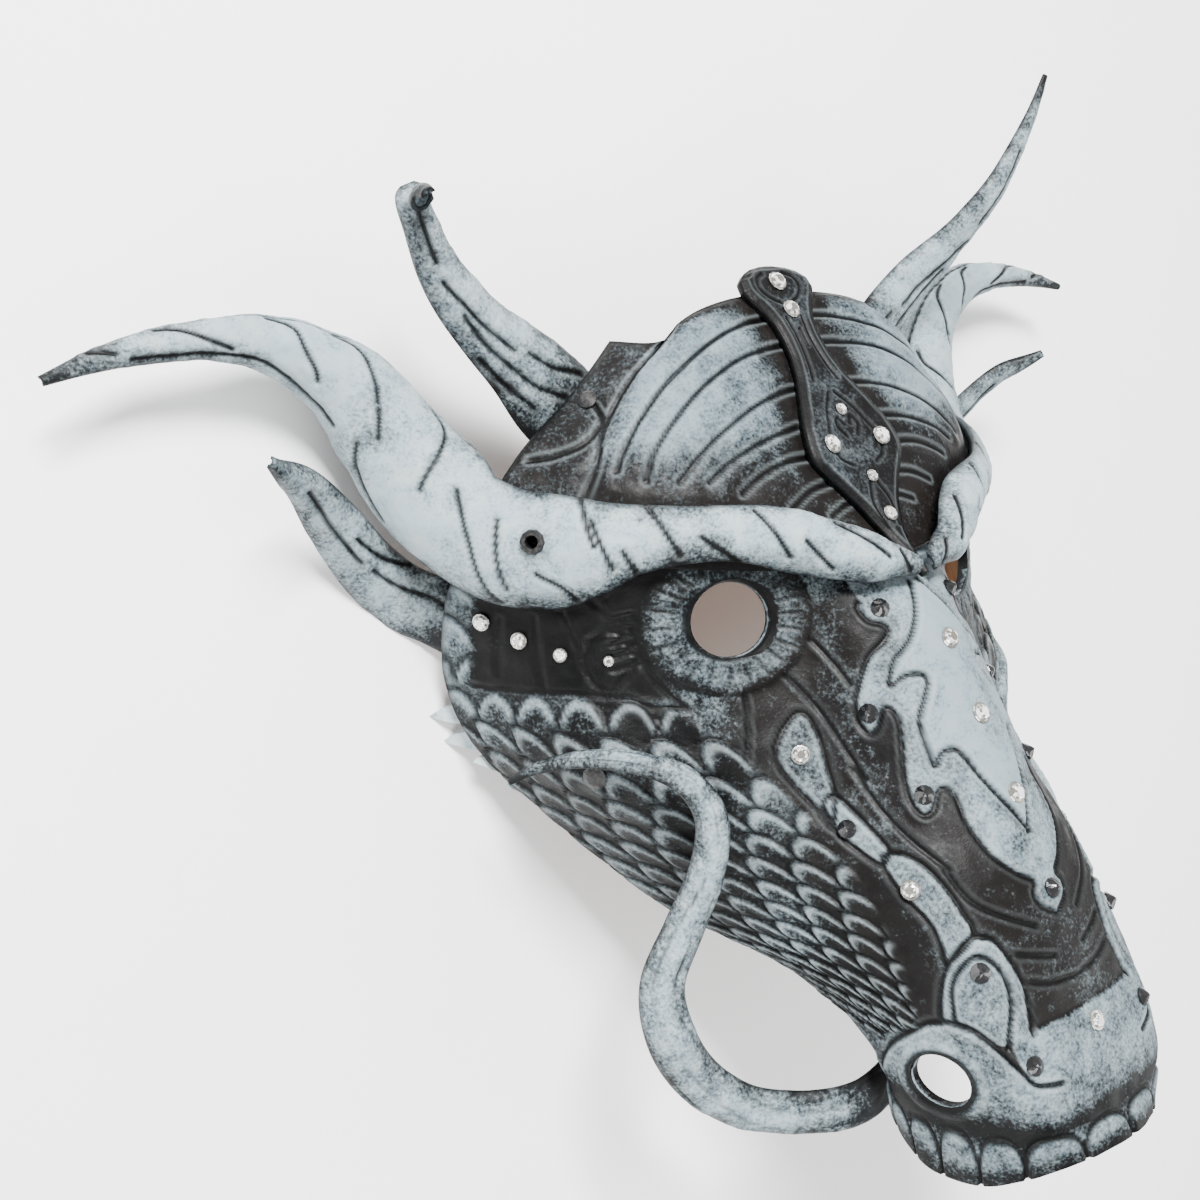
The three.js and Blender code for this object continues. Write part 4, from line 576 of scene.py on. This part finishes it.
def crown():
    nu, nv = 176, 206; s, v = np.meshgrid(np.linspace(0, CROWN_END, nu + 1), np.linspace(-1, 1, nv + 1), indexing='ij'); av = np.abs(v); n = sheet_normal(s, v); P = sheet(s, v); base = CROWN_LIFT + LEATHER
    L = []
    for k, l in LINES['crown'].items():
        for z in (l, mirror(l)): L.append(on_sheet(z))
    d = near(P, np.concatenate(L)); lb = []
    for z in (LINES['crown']['border'], mirror(LINES['crown']['border'])): lb.append(on_sheet([[-0.1, z[0][1] * 0.93]] + z + [[4.3, z[-1][1]]]))
    db = near(P, np.concatenate(lb)); d = np.minimum(d, db); wob = grain(P, 14, 2)
    ink_and_shade = 1 - smooth(d, 0.35, 0.95); pale = 0.35 * np.exp(-((d - 1.35) / 0.4) ** 2)
    # painted shade masks: darker beside the strap and towards the brow horns; also darker at the rear rim and next to
    # the tab
    x = np.abs(P[..., 0]); shade_by_strap = np.exp(-((np.maximum(x - strap_half(s), 0)) / 9) ** 2); vr = np.exp(-(s / 0.42) ** 2); shade_near_brow = smooth(s, 2.5, 3.6)
    tab = smooth(av, 0.79, 0.81); vt = np.exp(-((np.maximum(0.79 - av, 0)) / 0.05) ** 2) * (1 - tab)
    # painted highlight in the middle of each lobe of the dome; painted shade beside the strap and towards the brow
    # horns, in tone and in the brown-black warm tint
    tone = 0.62 + 0.07 * wob + 0.14 * np.exp(-((av - 0.5) / 0.16) ** 2) * np.exp(-((s - 1.6) / 1.1) ** 2); tone -= 0.62 * np.maximum.reduce([shade_by_strap, vr, shade_near_brow * 0.8, vt * 0.5]); tone = tone * (1 - tab) + 0.24 * tab; warm = np.maximum(0.75 * np.maximum(shade_by_strap, shade_near_brow) * 0.8, 0.45 * tab)
    wrink = grain(P, 5, 21) * 0.08
    h = -0.75 * np.exp(-(d / 0.85) ** 2) + 0.55 * smooth(d, 0.5, 5) + 0.12 * wob + wrink
    rimd = np.minimum(np.linalg.norm(P - sheet(np.zeros_like(s), v), axis=-1), np.linalg.norm(P - sheet(s, np.where(v < 0, -1.0, 1.0)), axis=-1)); ink_and_shade = np.maximum(ink_and_shade, np.exp(-(rimd / 1.3) ** 2) * 0.9)
    free = 1 - smooth(s, 3.3, 3.7); under = 1 - smooth(strap_half(s) + 3 - x, -2, 0) ; h = np.clip(h, -0.8, 0.8) * free * smooth(rimd, 0, 2.5); h = np.where(x < strap_half(s) + 1.5, np.minimum(h, 0), h)
    hi = P + n * (base + h)[..., None]; lo = P + n * CROWN_LIFT
    slab_piece('crown_visual', hi, lo, dict(ink_and_shade=np.clip(ink_and_shade, 0, 1), pale=np.clip(pale, 0, 1), tone=np.clip(tone, 0, 1), warm=np.clip(warm, 0, 1)), M_CROWN, 'crown')


def strap():
    nu, nv = 380, 44; a = np.linspace(STRAP[0][0], STRAP[-1][0], nu + 1); s, f = np.meshgrid(a, np.linspace(-1, 1, nv + 1), indexing='ij')
    ks = np.array([p[0] for p in STRAP]); half = np.interp(s, ks, [p[1] for p in STRAP]); kern = np.ones(9) / 9
    hsm = np.convolve(np.pad(half[:, 0], 4, mode='edge'), kern, 'valid'); half = np.repeat(hsm[:, None], nv + 1, 1); x = half * f
    ff = np.maximum(s, STRAP_FREE); k02 = sheet(a.clip(STRAP_FREE), np.full(nu + 1, 0.2))[:, 0] / 0.2; v = x / k02[:, None]; n = sheet_normal(ff, v); P0 = sheet(ff, v)
    dv = sheet(STRAP_FREE, 0.0) - sheet(STRAP_FREE + 0.1, 0.0); P0 = P0 + (np.maximum(STRAP_FREE - s, 0) * 10)[..., None] * dv
    base = CROWN_LIFT + LEATHER + GAP; along = np.concatenate([[0], np.cumsum(np.linalg.norm(np.diff(P0[:, nv // 2], axis=0), axis=1))])
    slope = np.gradient(hsm, along); ed = (half - np.abs(x)) / np.sqrt(1 + slope[:, None] ** 2); ed = np.minimum(ed, along[:, None] + 0.4)
    ink_and_shade = 1 - smooth(ed, 1.4, 2.2); pale = 0.25 * np.exp(-((ed - 2.2) / 0.35) ** 2); h = -0.9 * np.exp(-(ed / 1.0) ** 2) + 0.25 * smooth(ed, 1.4, 2.4)
    def put(line, w=0.7, depth=0.45):
        nonlocal ink_and_shade, h, pale
        l = np.array(line); u = np.linspace(0, len(l) - 1, 60); q = curve(l, u) if len(l) > 2 else np.stack([np.interp(u, [0, 1], l[:, k]) for k in (0, 1)], 1)
        Q = np.stack([np.interp(q[:, 0], a, along), q[:, 1]], 1); G = np.stack([np.broadcast_to(along[:, None], x.shape), x], -1)
        dd = np.full(x.shape, 99.0)
        for i in range(len(Q) - 1):
            e = Q[i + 1] - Q[i]; t = np.clip(((G - Q[i]) @ e) / (e @ e + 1e-9), 0, 1); dd = np.minimum(dd, np.linalg.norm(G - Q[i] - t[..., None] * e, axis=-1))
        ink_and_shade = np.maximum(ink_and_shade, 1 - smooth(dd, 0.25 * w / 0.7, 0.75 * w / 0.7)); pale = np.maximum(pale, 0.12 * np.exp(-((dd - 1.05) / 0.3) ** 2)); h = h - depth * np.exp(-(dd / 0.6) ** 2)
    for g in (-1, 1):
        put([[2.4, 1.2 * g], [2.62, 5 * g], [2.85, 7.5 * g], [3.05, 9.5 * g], [3.22, 8 * g], [3.3, 4.5 * g]]); put([[3.0, 2.2 * g], [2.86, 4.2 * g], [2.75, 2.6 * g], [2.85, 1.2 * g]])
        put([[3.5, 1.4 * g], [3.72, 3.2 * g], [4.0, 1.8 * g]]); put([[-0.6, 4 * g], [-0.35, 7.2 * g], [0.1, 7.6 * g], [0.5, 5.2 * g], [0.7, 2 * g]]); put([[1.1, 3.2 * g], [1.5, 2.6 * g], [1.9, 3.4 * g], [2.2, 5 * g]])
    put([[1.35, 0.0], [1.62, 0.0]], 1.3, 0.9)
    tone = np.full(x.shape, 0.26) + 0.1 * grain(P0, 16, 9); tone -= 0.16 * np.exp(-((s - 1.5) / 0.5) ** 2)
    hi = P0 + n * (base + LEATHER + np.clip(h, -1, 0.3))[..., None]; lo = P0 + n * base
    slab_piece('crest_strap_visual', hi, lo, dict(ink_and_shade=np.clip(ink_and_shade, 0, 1), pale=np.clip(pale, 0, 1), tone=np.clip(tone, 0, 1), warm=0 * x + 0.12), M_STRAP, 'crest_strap')


# ---------------------------------------------------------------- horns and barbels
def horn(name, st, mir, nt, na, seated=False, lines=(), tone=0.69, dark_ends=(0, 0), stripes=0, bore=None, twist=0.0, edge_ink=0.8):
    last = len(st) - 1; t = np.linspace(0, last, nt + 1); fr = horn_frame(st, t)
    tc = np.linspace(0, last, 97); E = horn_ends(st, tc, seated); e0, e1 = np.interp(t, tc, E[:, 0]), np.interp(t, tc, E[:, 1])
    f = np.linspace(0, 1, na + 1); A = e0[:, None] + (e1 - e0)[:, None] * f; P, n = horn_at(fr, A, 0); Q, _ = horn_at(fr, A, 1)
    if bore is not None:
        fb = horn_frame(st, np.array([bore])); C, Tn, nb, sd = fb[0][0, :3], fb[1][0], fb[2][0], fb[3][0]
    clouds = []
    for l in lines:
        l = np.array(l)
        if len(l) < 2: continue
        q = curve(l, np.linspace(0, len(l) - 1, 80)) if len(l) > 2 else np.stack([np.linspace(l[0, k], l[1, k], 80) for k in (0, 1)], 1)
        p, _ = horn_at(horn_frame(st, q[:, 0]), q[:, 1:2], 0); clouds.append(p[:, 0])
    d = near(P, np.concatenate(clouds)) if clouds else np.full(A.shape, 99.0)
    w = fr[0][:, 3:4]; wob = grain(P, 12, 31); k = np.clip(w / 5, 0.25, 1)
    ink_and_shade = 1 - smooth(d, 0.35, 1.05); pale = 0.35 * np.exp(-((d - 1.5) / 0.4) ** 2); h = -0.55 * np.exp(-(d / 0.8) ** 2) + 0.22 * np.exp(-((d - 2.0) / 1.0) ** 2)
    h += 0.16 * wob * k + 0.07 * grain(P, 3.4, 17) * k
    if stripes:
        ph = (A * stripes + 0.35 * np.sin(t[:, None] * 1.3) + twist * t[:, None]); sw = np.abs(np.mod(ph, 1) - 0.5) * 2
        g = 1 - smooth(sw, 0.05, 0.22); g = g * (0.6 + 0.4 * grain(P, 18, 44)); ink_and_shade = np.maximum(ink_and_shade, np.clip(0.75 * g, 0, 1)); h -= 0.22 * g * k
    el = np.minimum((A - e0[:, None]), (e1[:, None] - A)) * np.sqrt(w * np.maximum(fr[0][:, 4:5], 1)); ink_and_shade = np.maximum(ink_and_shade, edge_ink * np.exp(-(el / 1.3) ** 2)); h = h * smooth(el, 0, 1.4)
    tn = np.full(A.shape, float(tone)) + 0.07 * wob + 0.06 * grain(P, 55, 3) - 0.42 * np.exp(-(el / 5.5) ** 2) - 0.16 * np.exp(-(d / 2.6) ** 2)
    frac = t[:, None] / last
    if dark_ends[0]: tn = tn - 0.65 * np.exp(-(frac / dark_ends[0]) ** 2); 
    if dark_ends[1]: tn = tn - 0.35 * np.exp(-((1 - frac) / dark_ends[1]) ** 2)
    if bore is not None:
        rb = np.hypot((P - C) @ Tn, (P - C) @ sd); tn = tn - 0.3 * np.exp(-(rb / 5) ** 2); h = h * smooth(rb, 3.6, 6)
    P = P + n * h[..., None]; m = np.array([-1 if mir else 1, 1, 1])
    P, Q = P * m, Q * m
    if name.startswith('temple'):   # the resting edge stays on the ground
        for G in (P, Q):
            F = lying(G); low = np.minimum(F[..., 2], 0); G[..., 2] -= low
    return slab_piece(name + '_visual', P, Q, dict(ink_and_shade=np.clip(ink_and_shade, 0, 1), pale=np.clip(pale, 0, 1), tone=np.clip(tn, 0, 1), warm=0 * A + 0.0), M_HORN, name, inner_val=0.0)


def cut_round(ob, C, n, r):
    n = unit(n); x = unit(np.cross(n, [0.3, 0.9, 0.2])); y = np.cross(n, x); an = np.linspace(0, 2 * math.pi, 49)[:-1]
    R = [C + n * h + (np.cos(an)[:, None] * x + np.sin(an)[:, None] * y) * r for h in (-5, 3)]; P = np.concatenate(R); k = 48
    fs = [[j, (j + 1) % k, k + (j + 1) % k, k + j] for j in range(k)] + [list(range(k))[::-1], [k + j for j in range(k)]]
    me = bpy.data.meshes.new('cut'); me.from_pydata((lying(P) / 1000).tolist(), [], fs); co = bpy.data.objects.new('cut', me); bpy.context.scene.collection.objects.link(co)
    bm = bmesh.new(); bm.from_mesh(me); bmesh.ops.recalc_face_normals(bm, faces=bm.faces); bm.to_mesh(me); bm.free()
    mo = ob.modifiers.new('hole', 'BOOLEAN'); mo.operation = 'DIFFERENCE'; mo.object = co; mo.solver = 'EXACT'; bpy.context.view_layer.objects.active = ob; bpy.ops.object.modifier_apply(modifier=mo.name); bpy.data.objects.remove(co)


face(); crown(); strap()
EXTRA_BROW = [[[1.2, -0.5], [0.9, 0.2], [0.6, 0.7]], [[7.9, -0.2], [7.4, 0.4], [7.0, 1.2]], [[6.1, -1.0], [6.0, -0.3], [5.9, 0.1]], [[12.0, -1.4], [11.0, -1.15], [10.0, -1.3], [9.0, -1.45], [8.2, -1.3]], [[13.2, 0.9], [12.2, 1.05], [11.2, 0.95], [10.4, 1.1], [9.6, 1.0]], [[9.2, 0.7], [8.9, 1.1], [8.3, 1.3]], [[5.0, 0.9], [4.4, 1.1], [3.6, 1.15]]]
EXTRA_UP = [[[4.5, 0.3], [3.9, 0.15], [3.2, 0.1], [2.4, 0.0]], [[7.0, -0.2], [6.0, 0.0], [5.0, 0.1]]]
for side, mir in (('right', True), ('left', False)):
    ob = horn('brow_horn_' + side, BROW_HORN, mir, 380, 84, True, LINES['horns']['brow'] + EXTRA_BROW, 0.88, (0, 0.08), 0, 6.72)
    fb = horn_frame(BROW_HORN, np.array([6.72])); m = np.array([-1 if mir else 1, 1, 1]); cut_round(ob, fb[0][0, :3] * m, fb[2][0] * m, 2.2)
    horn('upper_horn_' + side, UPPER_HORN_RIGHT if mir else UPPER_HORN_LEFT, mir, 190, 40, False, LINES['horns']['upper'] + EXTRA_UP, 0.82, (0.14, 0.05))
    horn('temple_horn_' + side, TEMPLE_HORN, mir, 150, 34, False, LINES['horns']['temple'] + [[[4.8, 0.0], [4.0, 0.1], [3.2, 0.0]]], 0.82, (0.14, 0))
    horn('barbel_' + side, BARBEL_RIGHT if mir else BARBEL_LEFT, mir, 330, 22, False, (), 0.80, (0.14, 0.03), 1.0, None, 0.03)


# ---------------------------------------------------------------- stones
def gem(node, clear):
    lo, hi = [np.array(q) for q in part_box(node)]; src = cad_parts[node]; V = np.array([list(q.co) for q in src.data.vertices]); c = V.mean(0)
    # axis: smallest spread of the hexagonal body
    U, S, W = np.linalg.svd(V - c); ax = W[2]; ctr = np.array([0, 0.0, 0.03]); ax = ax if ax @ (c - ctr) > 0 else -ax
    hh = (V - c) @ ax; bot, top = hh.min(), hh.max(); rad = np.linalg.norm((V - c) - hh[:, None] * ax, axis=1).max(); b = c + ax * bot
    rad0 = (V - c) - hh[:, None] * ax; low = np.abs(hh - bot) < 1e-5; base_c = V[low].mean(0); H = top - bot
    x = unit(np.cross(ax, [0.31, 0.85, 0.1])); y = np.cross(ax, x); P, F = [], []
    def ringp(r, h, k, ph=0.0): a = 2 * math.pi * (np.arange(k) + ph) / k; return [base_c + ax * h + (math.cos(t) * x + math.sin(t) * y) * r for t in a]
    k = 12
    if clear: rings = [(1.10, 0.0, 0), (1.16, 0.18, 0), (1.08, 0.40, 0), (0.94, 0.42, 0), (0.74, 0.86, 0.5), (0.46, 1.05, 0)]
    else: rings = [(1.0, 0.0, 0), (1.0, 0.16, 0), (0.66, 0.5, 0.5), (0.3, 0.82, 0)]
    for r, h, ph in rings: P += ringp(rad * r * 0.985, H * h, k, ph)
    nr = len(rings)
    for i in range(nr - 1):
        ph0, ph1 = rings[i][2], rings[i + 1][2]
        for j in range(k):
            a, b2, c2, d2 = i * k + j, i * k + (j + 1) % k, (i + 1) * k + (j + 1) % k, (i + 1) * k + j
            if ph0 == ph1: F.append([a, b2, c2, d2])
            elif ph1 > ph0: F += [[a, b2, d2], [b2, c2, d2]]
            else: F += [[a, b2, c2], [a, c2, d2]]
    F.append(list(range(k))[::-1])
    if clear: F.append([(nr - 1) * k + j for j in range(k)])
    else: P.append(base_c + ax * H); F += [[(nr - 1) * k + j, (nr - 1) * k + (j + 1) % k, len(P) - 1] for j in range(k)]
    me = bpy.data.meshes.new(node + '_visual'); me.from_pydata([list(map(float, p)) for p in P], [], F); bm = bmesh.new(); bm.from_mesh(me); bmesh.ops.recalc_face_normals(bm, faces=bm.faces); bm.to_mesh(me); bm.free()
    me.materials.append(M_CLEAR if clear else M_BLACK)
    if clear: me.materials.append(M_SILVER)
    # random value per facet for the painted glints and dark reflections of the clear stone
    fa = me.attributes.new('facet_glint', 'FLOAT', 'FACE'); rr = np.random.default_rng(abs(int(c[0] * 9e4)) + abs(int(c[1] * 7e4)) + (c[0] > 0)); fa.data.foreach_set('value', rr.uniform(0, 1, len(me.polygons)).astype(np.float32))
    if clear:
        for q in me.polygons: q.material_index = 1 if (np.array(q.center) - base_c) @ ax < H * 0.415 else 0
    ob = bpy.data.objects.new(node + '_visual', me); bpy.context.scene.collection.objects.link(ob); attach(ob, 'root'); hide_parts(node)


for node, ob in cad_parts.items():
    if node.startswith('stone_'): gem(node, True)
    elif node.startswith('stud_'): gem(node, False)
    elif node.startswith(('eyelet', 'crown_snap', 'cheek_rivet')):
        for i in range(len(ob.material_slots)): ob.material_slots[i].material = M_METAL
    elif node.startswith('jaw_spikes'):
        for i in range(len(ob.material_slots)): ob.material_slots[i].material = M_SPIKE

# ---------------------------------------------------------------- floor, light, camera
fm, nt = nodes_of('paper'); g = N(nt); co = g.add('ShaderNodeTexCoord').outputs['Object']; bs = g.add('ShaderNodeBsdfPrincipled'); g.link(g.mix(g.noise(co, 30, 2), (0.93, 0.93, 0.93, 1), (0.96, 0.96, 0.96, 1)), bs.inputs['Base Color']); bs.inputs['Roughness'].default_value = 0.9
g.link(bs.outputs[0], g.add('ShaderNodeOutputMaterial').inputs[0])
me = bpy.data.meshes.new('floor'); me.from_pydata([(-4, -4, 0), (4, -4, 0), (4, 4, 0), (-4, 4, 0)], [], [[0, 1, 2, 3]]); me.materials.append(fm); fl = bpy.data.objects.new('floor', me); bpy.context.scene.collection.objects.link(fl)
w = bpy.data.worlds.new('studio'); bpy.context.scene.world = w; w.use_nodes = True; w.node_tree.nodes['Background'].inputs[0].default_value = (1, 1, 1, 1); w.node_tree.nodes['Background'].inputs[1].default_value = 0.85


def area(name, at, to, size, power):
    l = bpy.data.lights.new(name, 'AREA'); l.size = size; l.energy = power; o = bpy.data.objects.new(name, l); bpy.context.scene.collection.objects.link(o); o.location = at
    o.rotation_euler = (Vector(to) - Vector(at)).to_track_quat('-Z', 'Y').to_euler()


area('key', (-0.35, 0.75, 0.95), (0, 0, 0.05), 0.35, 62.0)
area('fill', (0.9, -0.5, 0.9), (0, 0, 0.05), 0.9, 11.0)
area('front', (-0.7, -0.6, 0.6), (0, 0, 0.05), 0.6, 11.0)
cam = bpy.data.cameras.new('camera'); cam.sensor_width = 36; cam.lens = 42.0; cam.clip_start = 0.01; c = bpy.data.objects.new('camera', cam); bpy.context.scene.collection.objects.link(c)
p = math.radians(0.66); rot = np.array([[1, 0, 0], [0, math.cos(p), -math.sin(p)], [0, math.sin(p), math.cos(p)]])
back = rot @ unit(np.array([-0.5988, 0.1147, 0.7926])); right = rot @ np.array([0.7785, -0.1492, 0.6097]); right = unit(right - back * (right @ back)); up = np.cross(back, right)
pos = lying(np.array([-280.5, 48.0, 233.4])) / 1000
c.matrix_world = Matrix([[right[0], up[0], back[0], pos[0]], [right[1], up[1], back[1], pos[1]], [right[2], up[2], back[2], pos[2]], [0, 0, 0, 1]]); bpy.context.scene.camera = c
